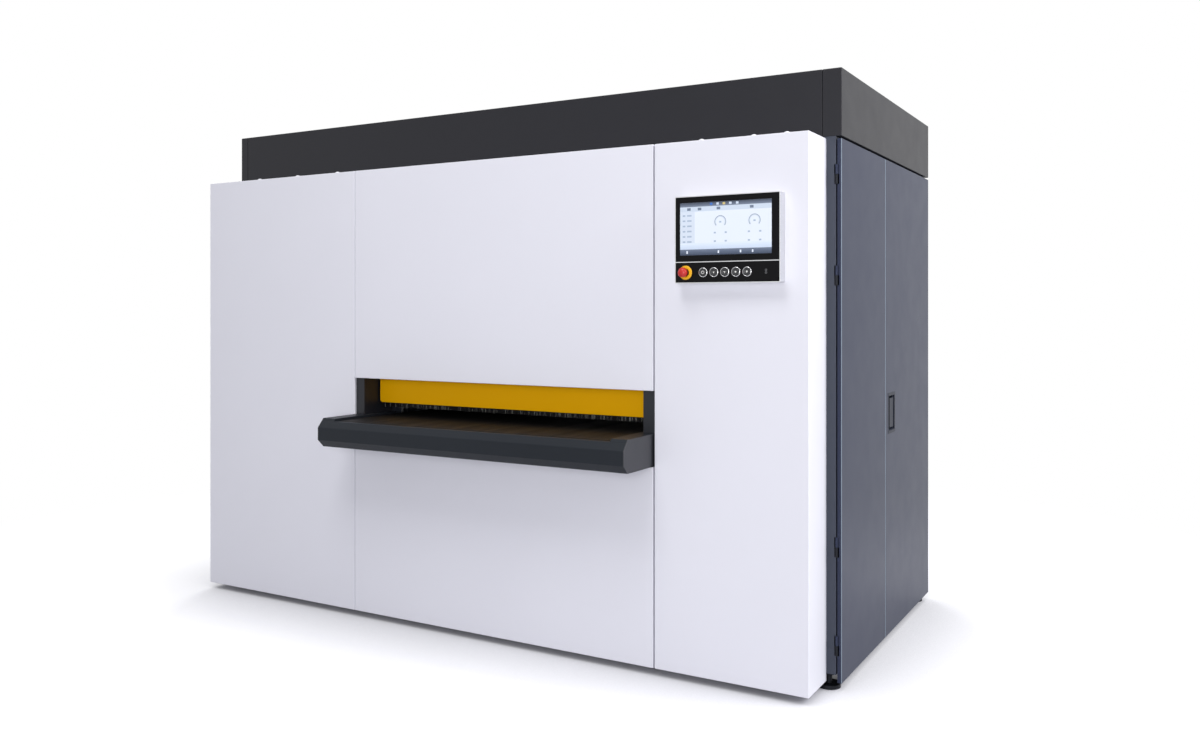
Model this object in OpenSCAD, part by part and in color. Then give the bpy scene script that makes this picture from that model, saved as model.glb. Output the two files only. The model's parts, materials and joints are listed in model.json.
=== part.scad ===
// Machine that deburrs and rounds the edges of flat sheet metal, in millimetres.
// The sheet rides on a conveyor belt along +Y, from the infeed table to the outfeed table.
// Origin: on the floor under the middle of the machine. +Z is up, and -Y is the operator's side.

/* [Body] */
// Width over the left side panels and the side doors
body_w = 3280; // [3240:5:3400]
// Depth of the dark body, behind the white front
body_d = 1462; // [1450:2:1500]
// Height of the top of the attic
body_h = 2365; // [2340:5:2450]
// Depth of the white front panels
clad_d = 204; // [190:1:230]
// Height of the top of the white front panels
clad_top = 2100; // [2080:5:2110]
// Clear height between the floor and every panel
floor_gap = 30; // [15:1:45]
// Thickness of the folded sheet metal
sheet = 2; // [1.5:0.5:3]

/* [Centre bay] */
// Distance of the bay's middle from the machine's middle
bay_offset = 157; // [130:1:180]
// Distance between the middles of the two seams beside the bay
bay_w = 1580; // [1570:1:1640]
// Width of the left seam
seam_left = 3; // [2:1:6]
// Width of the right seam
seam_right = 6; // [3:1:9]
// Height of the opening's upper edge
opening_top = 1125; // [1100:1:1160]
// Width of the dark jamb on each side of the opening
jamb_w = 49; // [44:1:54]
// Distance of the jambs behind the white front
jamb_back = 10; // [4:1:20]

/* [Conveyor] */
// How far each table stands out of the machine
table_reach = 240; // [225:1:300]
// Height of the table's top
table_top = 955; // [950:1:960]
// Height of the table's underside
table_under = 826; // [815:1:830]
// Depth of the chamfers on the table's nose
nose_d = 34; // [28:1:36]
// Height of the upper chamfer
nose_top_h = 40; // [34:1:44]
// Height of the lower chamfer
nose_low_h = 33; // [28:1:36]
// Wall of the table's housing
table_wall = 3; // [2:0.5:4]
// Height of the belt's upper face
belt_top = 945; // [942:1:947]
// Thickness of the conveyor belt
belt_t = 8; // [6:0.5:9]
// Width of the conveyor belt
belt_w = 1400; // [1300:5:1410]
// Radius of the conveyor's rollers
roller_r = 45; // [42:0.5:46]

/* [Frame] */
// Side of the square posts and beams
post = 80; // [70:2:84]
// Wall of the posts and beams
tube_wall = 4; // [3:0.5:6]
// Height of the base beams
base_h = 100; // [80:5:120]
// Height of the levelling feet
foot_h = 60; // [50:1:80]
// Radius of a foot's pad
foot_r = 45; // [40:1:70]

/* [Side doors] */
// Depth of a door leaf
door_t = 17; // [15:1:22]
// Gap between the posts and the doors
door_gap = 5; // [4:0.5:7]
// Distance of the doors' tops below the attic
door_top_gap = 9; // [6:1:15]
// Gap between the two leaves
leaf_gap = 4; // [3:0.5:6]
// Height of a hinge
hinge_h = 75; // [60:1:90]
// Width of the handle's dish
dish_w = 119; // [110:1:140]
// Height of the handle's dish
dish_h = 178; // [160:1:200]
// Height of the dish's lower edge
dish_z = 905; // [850:5:1000]

/* [Processing head] */
// Clear height between the belt and the tools at rest
pass_h = 39; // [37:1:42]
// Length of the head along the feed
head_l = 1200; // [1190:1:1215]
// Thickness of the head's side plates
plate_t = 20; // [15:1:25]
// Radius of the contact drum
drum_r = 100; // [90:1:104]
// Radius of the tension roller
tension_r = 60; // [50:1:70]
// Distance between the drum's axis and the tension roller's
drum_span = 420; // [400:1:440]
// Radius of a disc brush
disc_r = 170; // [150:1:174]
// Distance between the disc brushes
disc_pitch = 356; // [350:1:360]
// Radius of the pressure rollers
press_r = 50; // [44:1:52]
// Radius of the lifting columns
column_r = 30; // [25:1:34]

/* [Operator panel] */
// Width of the operator panel
hmi_w = 426; // [400:1:450]
// Height of the operator panel
hmi_h = 333; // [320:1:350]
// Depth of the operator panel
hmi_d = 50; // [42:1:60]
// Distance from the right seam to the operator panel
hmi_in = 113; // [60:1:130]
// Height of the operator panel's lower edge
hmi_z = 1547; // [1400:5:1600]
// Width of the screen
screen_w = 370; // [340:1:380]
// Height of the screen
screen_h = 200; // [190:1:210]

/* [Hidden] */
$fn = 48;

// How far a cut runs past the surface that it opens
over = 5;
// Gap between curved faces that run past each other
run_gap = 0.3;
// Radial clearance of a shaft in its bearing
fit = 0.05;

// Outer planes of the body and of the white front
left_x = -body_w / 2;
right_x = body_w / 2;
front_y = -(clad_d + body_d) / 2;
body_y = front_y + clad_d;
rear_y = front_y + clad_d + body_d;

// Faces of the posts, set in behind the side doors, the side panels and the rear panels
side_in = door_t + door_gap;
rear_in = 25;
post_left = left_x + side_in;
post_right = right_x - side_in;
rear_post_y = rear_y - rear_in;
base_top = foot_h + base_h;
// Distance between the top of the white front and the attic
attic_gap = 6;
attic_z = clad_top + attic_gap;
ring_z = attic_z - post;
door_top = attic_z - door_top_gap;

// The bay, its seams and the width of the strip of post beside the white front
bay_l = bay_offset - bay_w / 2;
bay_r = bay_offset + bay_w / 2;
strip_w = 60;
clad_right = right_x - strip_w;
left_edge = bay_l - seam_left / 2;
centre_l = bay_l + seam_left / 2;
centre_r = bay_r - seam_right / 2;
right_edge = bay_r + seam_right / 2;
panel_gap = 2;

// A box given by its low and high corners
module box(low, high) {
  translate(low) cube(high - low);
}

// A tray of folded sheet: its face lies at the low y, and it is open at the high y
module tray(low, high) {
  difference() {
    box(low, high);
    box(low + [sheet, sheet, sheet], high + [-sheet, over, -sheet]);
  }
}

// The same tray with its face at the high y
module tray_rear(low, high) {
  difference() {
    box(low, high);
    box(low + [sheet, -over, sheet], high - [sheet, sheet, sheet]);
  }
}

// A round bar along x, y or z from a point
module bar_x(p, r, l) { translate(p) rotate([0, 90, 0]) cylinder(r = r, h = l); }
module bar_y(p, r, l) { translate(p) rotate([-90, 0, 0]) cylinder(r = r, h = l); }
module bar_z(p, r, l) { translate(p) cylinder(r = r, h = l); }

// A square tube along x, and a channel along x or y that is open underneath
module tube_x(low, high) {
  difference() {
    box(low, high);
    box(low + [-over, tube_wall, tube_wall], high + [over, -tube_wall, -tube_wall]);
  }
}
module channel_y(low, high) {
  difference() {
    box(low, high);
    box(low + [tube_wall, tube_wall, -over], high - [tube_wall, tube_wall, tube_wall]);
  }
}
module channel_x(low, high) {
  channel_y(low, high);
}
// The same channel with its open side up
module trough(low, high) {
  difference() {
    box(low, high);
    box(low + [tube_wall, tube_wall, tube_wall], high + [-tube_wall, -tube_wall, over]);
  }
}

// A post: a square tube along z, closed at its top by what it meets
module tube_z(low, high) {
  difference() {
    box(low, high);
    box(low + [tube_wall, tube_wall, -over], high - [tube_wall, tube_wall, 0]);
  }
}

// What is drawn for the front plane, turned over for the rear plane when the direction is negative
module facing(dir) {
  if (dir < 0) mirror([0, 1, 0]) children();
  else children();
}

// Frame. The lifting columns stand on inner beams beside the bay.
column_out = 860;
head_gap = 49;
head_y = body_y + post + head_gap;
column_in = 80;
column_xs = [bay_offset - column_out, bay_offset + column_out];
column_ys = [head_y + column_in, head_y + head_l - column_in];
inner_xs = [bay_l - post / 2, bay_r - post / 2];
outer_xs = [post_left, post_right - post];
// The seam of the doors, and the middle post behind it
front_leaf_share = 0.435;
leaf_seam = body_y + front_leaf_share * body_d;
seat_w = 20;
mid_post_y = leaf_seam + seat_w - post;

// Low and high corners of the beams of the base or of the top ring, from z0 to z1
function beams(z0, z1) = concat(
  [for (x = outer_xs) [[x, body_y, z0], [x + post, rear_y, z1]]],
  [for (y = [body_y, rear_post_y - post])
    [[post_left + post, y, z0], [post_right - post, y + post, z1]]],
  [for (x = column_xs)
    [[x - post / 2, body_y + post, z0], [x + post / 2, rear_post_y - post, z1]]]
);

// Notches in the right-hand posts for the hinges
notch_x = 7;
notch_y = 12;
hinge_shares = [0.050, 0.231, 0.730, 0.916];
door_h = door_top - floor_gap;
hinge_zs = [for (s = hinge_shares) floor_gap + s * door_h];
module hinge_notches() {
  for (z = hinge_zs) {
    box([post_right - notch_x, body_y - over, z],
        [post_right + over, body_y + notch_y, z + hinge_h]);
    box([post_right - notch_x, rear_y - notch_y, z],
        [post_right + over, rear_y + over, z + hinge_h]);
  }
}
module base_frame() {
  color("dimgray") difference() {
    for (b = beams(foot_h, base_top)) trough(b[0], b[1]);
    hinge_notches();
  }
}

foot_pad = 15;
stud_r = 12;
nut_r = 20;
nut_h = 15;
// One foot: a pad, a threaded stud and its lock nut under the beam
module foot(x, y) {
  bar_z([x, y, 0], foot_r, foot_pad);
  bar_z([x, y, foot_pad], stud_r, foot_h - foot_pad);
  translate([x, y, foot_h - nut_h]) cylinder(r = nut_r, h = nut_h, $fn = 6);
}
module levelling_feet() {
  color("gray")
    for (x = concat([for (x = outer_xs) x + post / 2], column_xs))
      for (y = [body_y + post / 2, rear_post_y - post / 2]) foot(x, y);
}

// The hinge's own sizes and the place of its axis, in the middle of the gap
knuckle_r = 5;
pin_r = 2.5;
hinge_x = post_right + door_gap / 2;

// The pocket in the middle post that the latch tongue enters
tongue_t = 12;
tongue_h = 36;
tongue_gap = 1;
strike_d = 10;
latch_z = dish_z + dish_h / 2;
tongue_in = 12;
tongue_x = post_right - tongue_t - tongue_in;

module frame_posts() {
  color("#464c58") {
    difference() {
      union() {
        for (x = outer_xs) {
          tube_z([x, body_y, base_top], [x + post, body_y + post, ring_z]);
          tube_z([x, rear_y - post, base_top], [x + post, rear_y, ring_z]);
        }
        for (x = inner_xs) {
          tube_z([x, body_y, base_top], [x + post, body_y + post, ring_z]);
          tube_z([x, rear_post_y - post, base_top], [x + post, rear_post_y, ring_z]);
        }
        tube_z([post_right - post, mid_post_y, base_top],
               [post_right, mid_post_y + post, ring_z]);
        for (b = beams(ring_z, attic_z)) channel_y(b[0], b[1]);
      }
      hinge_notches();
      box([tongue_x - tongue_gap, mid_post_y + post - strike_d, latch_z - tongue_h / 2 - tongue_gap],
          [post_right + over, mid_post_y + post + over, latch_z + tongue_h / 2 + tongue_gap]);
    }
  }
}

// White front. Each panel is a deep tray that bears on the posts.
module front_panel_left() {
  color("#e2e2ec")
    tray([left_x, front_y, floor_gap], [left_edge, body_y, clad_top]);
}
// The lower flange of the upper panel is short, so that the guard can rise behind it
lip_d = 40;
module front_panel_upper() {
  color("#e2e2ec") difference() {
    tray([centre_l, front_y, opening_top], [centre_r, body_y, clad_top]);
    box([centre_l + sheet, front_y + lip_d, opening_top - over],
        [centre_r - sheet, body_y + over, opening_top + sheet + over]);
  }
}
module front_panel_lower() {
  color("#e2e2ec")
    tray([centre_l, front_y, floor_gap], [centre_r, body_y, table_under - panel_gap]);
}
module front_panel_right() {
  color("#e2e2ec")
    tray([right_edge, front_y, floor_gap], [clad_right, body_y, clad_top]);
}

// Mushroom-headed screws on the top edges of the left and right panels
screw_r = 12.5;
screw_h = 6;
screw_in = 14;
left_screw_shares = [0.353, 0.617, 0.880];
right_screw_shares = [0.313, 0.654, 0.860];
screw_dome_r = (screw_r * screw_r + screw_h * screw_h) / (2 * screw_h);
module screw_head(x) {
  translate([x, front_y + screw_in, clad_top]) intersection() {
    translate([0, 0, screw_h - screw_dome_r]) sphere(r = screw_dome_r);
    cylinder(r = screw_r, h = screw_h + over);
  }
}
module panel_screws() {
  color("white") {
    for (s = left_screw_shares) screw_head(left_x + s * (left_edge - left_x));
    for (s = right_screw_shares) screw_head(right_edge + s * (clad_right - right_edge));
  }
}

// Jambs: a tray beside each end of the opening, at the front and at the rear
module opening_jambs() {
  jamb_top = opening_top;
  color("#2c323c") {
    tray([centre_l, front_y + jamb_back, table_top], [centre_l + jamb_w, body_y, jamb_top]);
    tray([centre_r - jamb_w, front_y + jamb_back, table_top], [centre_r, body_y, jamb_top]);
    tray_rear([centre_l, rear_post_y, table_top], [centre_l + jamb_w, rear_y - jamb_back, jamb_top]);
    tray_rear([centre_r - jamb_w, rear_post_y, table_top], [centre_r, rear_y - jamb_back, jamb_top]);
  }
}

// Attic. The side trays turn round the corners, so the front shows their returns.
return_left = 47;
return_right = 74;
attic_d = 30;
attic_seam = 2;
module attic_front() {
  color("#393838")
    tray([left_x + return_left + attic_seam, body_y, attic_z],
         [right_x - return_right - attic_seam, body_y + attic_d, body_h]);
}
module attic_rear() {
  color("#393838")
    tray_rear([left_x + return_left + attic_seam, rear_y - attic_d, attic_z],
              [right_x - return_right - attic_seam, rear_y, body_h]);
}
module attic_sides() {
  color("#55555a") {
    difference() {
      box([left_x, body_y, attic_z], [left_x + return_left, rear_y, body_h]);
      box([left_x + sheet, body_y + sheet, attic_z + sheet],
          [left_x + return_left + over, rear_y - sheet, body_h - sheet]);
    }
    difference() {
      box([right_x - return_right, body_y, attic_z], [right_x, rear_y, body_h]);
      box([right_x - return_right - over, body_y + sheet, attic_z + sheet],
          [right_x - sheet, rear_y - sheet, body_h - sheet]);
    }
  }
}

// Roof deck with two extraction spigots, lower than the attic's top
spigot_r = 100;
spigot_wall = 2;
spigot_h = 160;
spigot_out = 450;
spigot_y = 100;
deck_gap = 1;
module roof_deck() {
  deck_low = [left_x + return_left + deck_gap, body_y + attic_d + deck_gap, attic_z];
  deck_high = [right_x - return_right - deck_gap, rear_y - attic_d - deck_gap, attic_z + sheet];
  color("#4a4a4e") difference() {
    union() {
      box(deck_low, deck_high);
      for (s = [-1, 1]) bar_z([bay_offset + s * spigot_out, spigot_y, attic_z], spigot_r, spigot_h);
    }
    for (s = [-1, 1])
      bar_z([bay_offset + s * spigot_out, spigot_y, attic_z - over],
            spigot_r - spigot_wall, spigot_h + 2 * over);
  }
}

// Left side: two trays on the posts. Rear: four trays between the corner posts.
module left_side_panels() {
  color("#60626e")
    for (y = [[body_y, leaf_seam - leaf_gap / 2], [leaf_seam + leaf_gap / 2, rear_y]])
      difference() {
        box([left_x, y[0], floor_gap], [post_left, y[1], door_top]);
        box([left_x + sheet, y[0] + sheet, floor_gap + sheet],
            [post_left + over, y[1] - sheet, door_top - sheet]);
      }
}
// The main switch's place on the rear, from the left corner post, and its shaft
switch_in = 210;
switch_x = post_left + post + switch_in;
switch_z = 1400;
shaft_r = 6;
module rear_panels() {
  rear_l = post_left + post + panel_gap;
  rear_r = post_right - post - panel_gap;
  color("#60626e") {
    difference() {
      tray_rear([rear_l, rear_post_y, floor_gap], [left_edge, rear_y, door_top]);
      bar_y([switch_x, rear_post_y - over, switch_z], shaft_r + fit, rear_in + 2 * over);
    }
    tray_rear([centre_l, rear_post_y, opening_top], [centre_r, rear_y, door_top]);
    tray_rear([centre_l, rear_post_y, floor_gap], [centre_r, rear_y, table_under - panel_gap]);
    tray_rear([right_edge, rear_post_y, floor_gap], [rear_r, rear_y, door_top]);
  }
}

// Side doors. Each leaf is a tray that is open inwards, with one half of each hinge.
knuckle_gap = 0.5;
lug_in = 2;
leaf_x = right_x - door_t;
knuckle_h = (hinge_h - knuckle_gap) / 2;

// A leaf between two places, with its hinges at the front plane or at the rear plane
module leaf(y0, y1, hinge_y, dir) {
  difference() {
    box([leaf_x, y0, floor_gap], [right_x, y1, door_top]);
    box([leaf_x - over, y0 + sheet, floor_gap + sheet], [right_x - sheet, y1 - sheet, door_top - sheet]);
    for (z = hinge_zs)
      translate([leaf_x - over, hinge_y, z]) facing(dir)
        translate([0, -over, 0]) cube([notch_x + over, notch_y + over, hinge_h]);
  }
  for (z = hinge_zs) translate([0, hinge_y, z + hinge_h - knuckle_h]) facing(dir) difference() {
    union() {
      bar_z([hinge_x, 0, 0], knuckle_r, knuckle_h);
      translate([hinge_x, 0, 0]) cube([leaf_x + notch_x + lug_in - hinge_x, knuckle_r, knuckle_h]);
    }
    bar_z([hinge_x, 0, -over], pin_r + fit, knuckle_h + 2 * over);
  }
}
module side_door_front() {
  color("#60626e") leaf(body_y, leaf_seam - leaf_gap / 2, body_y, 1);
}
dish_in = 40;
dish_y = leaf_seam + leaf_gap / 2 + dish_in;
dish_rim = 8;
module side_door_rear() {
  color("#60626e") difference() {
    leaf(leaf_seam + leaf_gap / 2, rear_y, rear_y, -1);
    box([leaf_x - over, dish_y + dish_rim, dish_z + dish_rim],
        [right_x + over, dish_y + dish_w - dish_rim, dish_z + dish_h - dish_rim]);
  }
}

// Fixed halves of the hinges: a knuckle welded into the post's notch, with the pin standing in it
module hinge_pins() {
  color("#2b2d33")
    for (h = [[body_y, 1], [rear_y, -1]]) for (z = hinge_zs)
      translate([0, h[0], z]) facing(h[1]) {
        bar_z([hinge_x, 0, 0], knuckle_r, knuckle_h);
        translate([post_right - notch_x, 0, 0])
          cube([hinge_x - post_right + notch_x, notch_y, knuckle_h]);
        bar_z([hinge_x, 0, 0], pin_r, hinge_h);
      }
}

// Handle of the rear door: a recessed dish, a paddle that is pulled outwards, and its latch tongue
dish_proud = 1;
dish_deep = 24;
dish_wall = 3;
dish_slope = 14;
dish_back = right_x - dish_deep;
paddle_t = 6;
paddle_in = 30;
finger_gap = 24;
paddle_pin_in = 8;
axle_r = 3;
paddle_y = dish_y + dish_w - paddle_in;
paddle_x = right_x - paddle_t / 2 - 2 * dish_proud;
paddle_end = dish_rim + dish_wall + dish_slope;
paddle_low = dish_z + paddle_end;
paddle_high = dish_z + dish_h - paddle_end;
guide_t = 4;
tongue_l = 60;
tongue_y = mid_post_y + post - strike_d + tongue_gap;
module handle_dish() {
  inner_y = dish_y + dish_rim + dish_wall;
  color("#2c2e34") difference() {
    union() {
      box([right_x, dish_y, dish_z], [right_x + dish_proud, dish_y + dish_w, dish_z + dish_h]);
      box([dish_back - dish_wall, dish_y + dish_rim, dish_z + dish_rim],
          [right_x, dish_y + dish_w - dish_rim, dish_z + dish_h - dish_rim]);
      for (z = [latch_z - tongue_h / 2 - guide_t, latch_z + tongue_h / 2])
        box([tongue_x, dish_y + dish_rim, z],
            [dish_back - dish_wall, dish_y + tongue_l, z + guide_t]);
    }
    translate([0, dish_y + dish_w - dish_rim - dish_wall, 0]) rotate([90, 0, 0])
      linear_extrude(dish_w - 2 * (dish_rim + dish_wall)) polygon([
        [dish_back, dish_z + dish_rim + dish_wall + dish_slope],
        [right_x + over, dish_z + dish_rim + dish_wall],
        [right_x + over, dish_z + dish_h - dish_rim - dish_wall],
        [dish_back, dish_z + dish_h - dish_rim - dish_wall - dish_slope],
      ]);
    bar_z([paddle_x, paddle_y, dish_z + dish_rim], axle_r + fit, dish_h - 2 * dish_rim);
  }
}
module handle_paddle() {
  color("#1f2126") {
    box([paddle_x - paddle_t / 2, dish_y + dish_rim + dish_wall + finger_gap, paddle_low],
        [paddle_x + paddle_t / 2, paddle_y + paddle_pin_in, paddle_high]);
    bar_z([paddle_x, paddle_y, dish_z + dish_rim], axle_r, dish_h - 2 * dish_rim);
  }
}
module latch_tongue() {
  color("silver")
    box([tongue_x, tongue_y, latch_z - tongue_h / 2],
        [tongue_x + tongue_t, tongue_y + tongue_l, latch_z + tongue_h / 2]);
}

// Conveyor. Both tables are the same housing, open above for the belt.
table_l = centre_l + seam_left / 2;
table_r = centre_r - seam_left / 2;
table_end = front_y - table_reach;
recess_out = 713;
rim_drop = 1;
belt_x = bay_offset;
roller_gap = 0.3;
roller_in = 61;
axis_y = -table_end - roller_in;
axis_z = belt_top - belt_t - roller_gap - roller_r;
journal_r = 15;
rail_t = 15;
rail_gap = 5;
rail_x = recess_out + rail_gap;
rail_low = 852;
rail_high = 932;
rail_over = 38;
web_low = 820;
seat_gap = 0.3;
bed_gap = 0.3;
bed_t = 6;
bed_end = 55;
roller_end = 8;

// Outline of the housing in the plane of y and z, from its nose back to a depth
module nose(depth, in) {
  polygon([
    [in, table_under + nose_low_h + in / 2],
    [nose_d + in / 2, table_under + in],
    [depth + over * sign(in), table_under + in],
    [depth + over * sign(in), table_top - in],
    [nose_d + in / 2, table_top - in],
    [in, table_top - nose_top_h - in / 2],
  ]);
}
module along_x(x, w) { translate([x, 0, 0]) rotate([90, 0, 90]) linear_extrude(w) children(); }
module table(depth) {
  translate([0, table_end, 0]) difference() {
    along_x(table_l, table_r - table_l) nose(depth, 0);
    along_x(table_l + table_wall, table_r - table_l - 2 * table_wall) nose(depth, table_wall);
    box([belt_x - recess_out, -over, belt_top - rim_drop],
        [belt_x + recess_out, depth + over, table_top + over]);
  }
}
module infeed_table() {
  color("#2c323a") table(body_y - table_end);
}
module outfeed_table() {
  color("#2c323a") mirror([0, 1, 0]) table(-table_end - rear_post_y);
}

module conveyor_frame() {
  color("#6a6c70") {
    difference() {
      for (s = [-1, 1])
        along_x(belt_x + s * (rail_x + rail_t / 2) - rail_t / 2, rail_t) polygon([
          [-axis_y - rail_over, rail_low], [body_y, rail_low],
          [body_y, web_low], [rear_post_y, web_low],
          [rear_post_y, rail_low], [axis_y + rail_over, rail_low],
          [axis_y + rail_over, rail_high], [-axis_y - rail_over, rail_high],
        ]);
      for (y = [-axis_y, axis_y])
        bar_x([belt_x - rail_x - rail_t - over, y, axis_z],
              journal_r + fit, 2 * (rail_x + rail_t + over));
    }
    for (y = [body_y, rear_post_y - post])
      tube_x([inner_xs[0] + post, y, web_low - post], [inner_xs[1], y + post, web_low - seat_gap]);
    box([belt_x - rail_x, -axis_y + bed_end, belt_top - belt_t - bed_gap - bed_t],
        [belt_x + rail_x, axis_y - bed_end, belt_top - belt_t - bed_gap]);
  }
}

// The loop of a belt round two rollers of one radius, in the plane of y and z
module flat_loop(r) {
  for (y = [-axis_y, axis_y]) translate([y, axis_z]) circle(r = r);
  translate([-axis_y, axis_z - r]) square([2 * axis_y, 2 * r]);
}
module conveyor_belt() {
  color("#302c28") along_x(belt_x - belt_w / 2, belt_w) difference() {
    flat_loop(roller_r + roller_gap + belt_t);
    flat_loop(roller_r + roller_gap);
  }
}
roller_l = 2 * (rail_x - roller_end);
module idler_roller() {
  color("silver") {
    bar_x([belt_x - roller_l / 2, -axis_y, axis_z], roller_r, roller_l);
    bar_x([belt_x - rail_x - rail_t, -axis_y, axis_z], journal_r, 2 * (rail_x + rail_t));
  }
}
// The driven roller is a shell that turns on the fixed axle of the motor inside it
shell_t = 6;
cap_t = 20;
motor_gap = 1;
module drive_roller() {
  color("silver") difference() {
    bar_x([belt_x - roller_l / 2, axis_y, axis_z], roller_r, roller_l);
    bar_x([belt_x - roller_l / 2 + cap_t, axis_y, axis_z], roller_r - shell_t, roller_l - 2 * cap_t);
    bar_x([belt_x - roller_l / 2 - over, axis_y, axis_z], journal_r + fit, roller_l + 2 * over);
  }
}
inner_motor_l = 600;
module drum_motor() {
  color("gray") {
    bar_x([belt_x - rail_x - rail_t, axis_y, axis_z], journal_r, 2 * (rail_x + rail_t));
    bar_x([belt_x - inner_motor_l / 2, axis_y, axis_z],
          roller_r - shell_t - motor_gap, inner_motor_l);
  }
}

// Processing head. Two side plates, tied by channels, carry every tool and slide on four columns.
plate_out = 778;
plate_low = 16;
head_high = 676;
tie_w = 80;
tie_h = 100;
tie_ys = [0, 560, 1020];
bush_w = 100;
bush_low = 266;
bush_h = 300;
shield_t = 3;
shield_low = 116;
rod_r = 20;
rod_out = 110;
rod_z = 256;
tool_z = belt_top + pass_h;
press_y_front = head_y + column_in;
drum_in = 250;
drum_y = head_y + drum_in;
grit_t = 2;
drum_z = tool_z + grit_t + run_gap + drum_r;
tension_z = drum_z + drum_span;
brush_in = 750;
brush_y = head_y + brush_in;
press_rear_in = 980;
press_y_rear = head_y + press_rear_in;
press_z = tool_z + press_r;
drum_journal_r = 25;
tension_journal_r = 20;
head_top = tool_z + head_high;
rod_ys = [brush_y - rod_out, brush_y + rod_out];
rod_height = tool_z + rod_z;
plate_xs = [bay_offset - plate_out - plate_t, bay_offset + plate_out];
bearing_l = 2 * (plate_out + plate_t);
bearing_x = bay_offset - plate_out - plate_t;

module head_carriage() {
  color("#7d8088") difference() {
    union() {
      for (x = plate_xs)
        box([x, head_y, tool_z + plate_low], [x + plate_t, head_y + head_l, head_top]);
      for (y = tie_ys)
        channel_x([plate_xs[0] + plate_t, head_y + y, head_top - tie_h],
                  [plate_xs[1], head_y + y + tie_w, head_top]);
      for (y = column_ys) for (x = column_xs)
        box([min(x - bush_w / 2, x < bay_offset ? x : plate_xs[1] + plate_t),
             y - bush_w / 2, tool_z + bush_low],
            [x < bay_offset ? plate_xs[0] : x + bush_w / 2,
             y + bush_w / 2, tool_z + bush_low + bush_h]);
      box([plate_xs[0], head_y - shield_t, tool_z + shield_low],
          [plate_xs[1] + plate_t, head_y, head_top]);
      for (y = rod_ys) bar_x([bearing_x, y, rod_height], rod_r, bearing_l);
    }
    for (y = column_ys) for (x = column_xs)
      bar_z([x, y, tool_z + bush_low - over], column_r + fit, bush_h + 2 * over);
    for (y = [press_y_front, press_y_rear])
      bar_x([bearing_x - over, y, press_z], journal_r + fit, bearing_l + 2 * over);
    bar_x([bearing_x - over, drum_y, drum_z], drum_journal_r + fit, bearing_l + 2 * over);
    bar_x([bearing_x - over, drum_y, tension_z], tension_journal_r + fit, bearing_l + 2 * over);
  }
}

// Columns: fixed on the base, braced by the top ring. The drive's nuts climb their threads.
module lift_columns() {
  color("silver") for (x = column_xs) for (y = column_ys)
    bar_z([x, y, base_top], column_r, ring_z - base_top + post - tube_wall);
}
nut_box = 90;
nut_box_h = 150;
cross_r = 10;
cross_low = 50;
cross_high = 125;
gear_w = 100;
gear_h = 60;
lift_motor_r = 45;
lift_motor_h = 140;
module lift_drive() {
  nut_z = tool_z + bush_low + bush_h;
  color("#3a5a86") {
    difference() {
      union() {
        for (x = column_xs) for (y = column_ys)
          box([x - nut_box / 2, y - nut_box / 2, nut_z],
              [x + nut_box / 2, y + nut_box / 2, nut_z + nut_box_h]);
        for (x = column_xs)
          bar_y([x, column_ys[0] + nut_box / 2 - over, nut_z + cross_low],
                cross_r, column_ys[1] - column_ys[0] - nut_box + 2 * over);
        bar_x([column_xs[0] + nut_box / 2 - over, column_ys[1], nut_z + cross_high],
              cross_r, column_xs[1] - column_xs[0] - nut_box + 2 * over);
        box([bay_offset - gear_w / 2, column_ys[1] - gear_w / 2, head_top],
            [bay_offset + gear_w / 2, column_ys[1] + gear_w / 2, head_top + gear_h]);
        bar_z([bay_offset, column_ys[1], head_top + gear_h], lift_motor_r, lift_motor_h);
      }
      for (x = column_xs) for (y = column_ys)
        bar_z([x, y, nut_z - over], column_r + run_gap, nut_box_h + 2 * over);
    }
  }
}

// Yellow guard before the tools, bent back to the head's shield, and the brush under its hem
guard_in = 110;
guard_out = 730;
guard_t = 3;
guard_low = 1005;
guard_high = 1175;
guard_corner = 14;
hem_h = 12;
hem_t = 7;
module infeed_guard() {
  y = front_y + guard_in;
  color("#d79b00") {
    difference() {
      box([bay_offset - guard_out, y, guard_low], [bay_offset + guard_out, y + guard_t, guard_high]);
      for (s = [-1, 1])
        translate([bay_offset + s * guard_out, y - over, guard_low]) rotate([0, 45, 0])
          cube([guard_corner, 2 * over + guard_t, guard_corner], center = true);
    }
    box([bay_offset - guard_out + guard_corner, y, guard_low],
        [bay_offset + guard_out - guard_corner, y + hem_t, guard_low + hem_h]);
    box([bay_offset - guard_out, y, guard_high - guard_t],
        [bay_offset + guard_out, head_y - shield_t, guard_high]);
  }
}

// Bristle strip: a holder behind the hem and one row of flat strands, clear of the table's recess
curtain_gap = 4;
strand_n = 320;
strand_w = 2.4;
strand_t = 2;
strand_l = 20;
strand_vary = 1.2;
holder_h = 10;
// Sine of a strand's number, times these degrees, makes the strands unequal
vary_deg = 137.5;
module brush_curtain() {
  y = front_y + guard_in + guard_t;
  w = 2 * (recess_out - curtain_gap);
  pitch = w / strand_n;
  x0 = bay_offset - w / 2 + (pitch - strand_w) / 2;
  root = guard_low - strand_t;
  color("#1a1a1a") {
    translate([0, y + hem_t - guard_t, 0]) box([bay_offset - w / 2, 0, root],
      [bay_offset + w / 2, holder_h, root + holder_h]);
    translate([0, y + hem_t - guard_t + strand_t, 0]) rotate([90, 0, 0]) linear_extrude(strand_t)
      polygon(concat(
        [[bay_offset - w / 2, root + strand_t]],
        [for (i = [0 : strand_n - 1]) each [
          [x0 + i * pitch, root],
          [x0 + i * pitch, root - strand_l + strand_t + strand_vary * sin(i * vary_deg)],
          [x0 + i * pitch + strand_w, root - strand_l + strand_t + strand_vary * sin(i * vary_deg)],
          [x0 + i * pitch + strand_w, root],
        ]],
        [[bay_offset + w / 2, root + strand_t]]
      ));
  }
}

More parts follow.
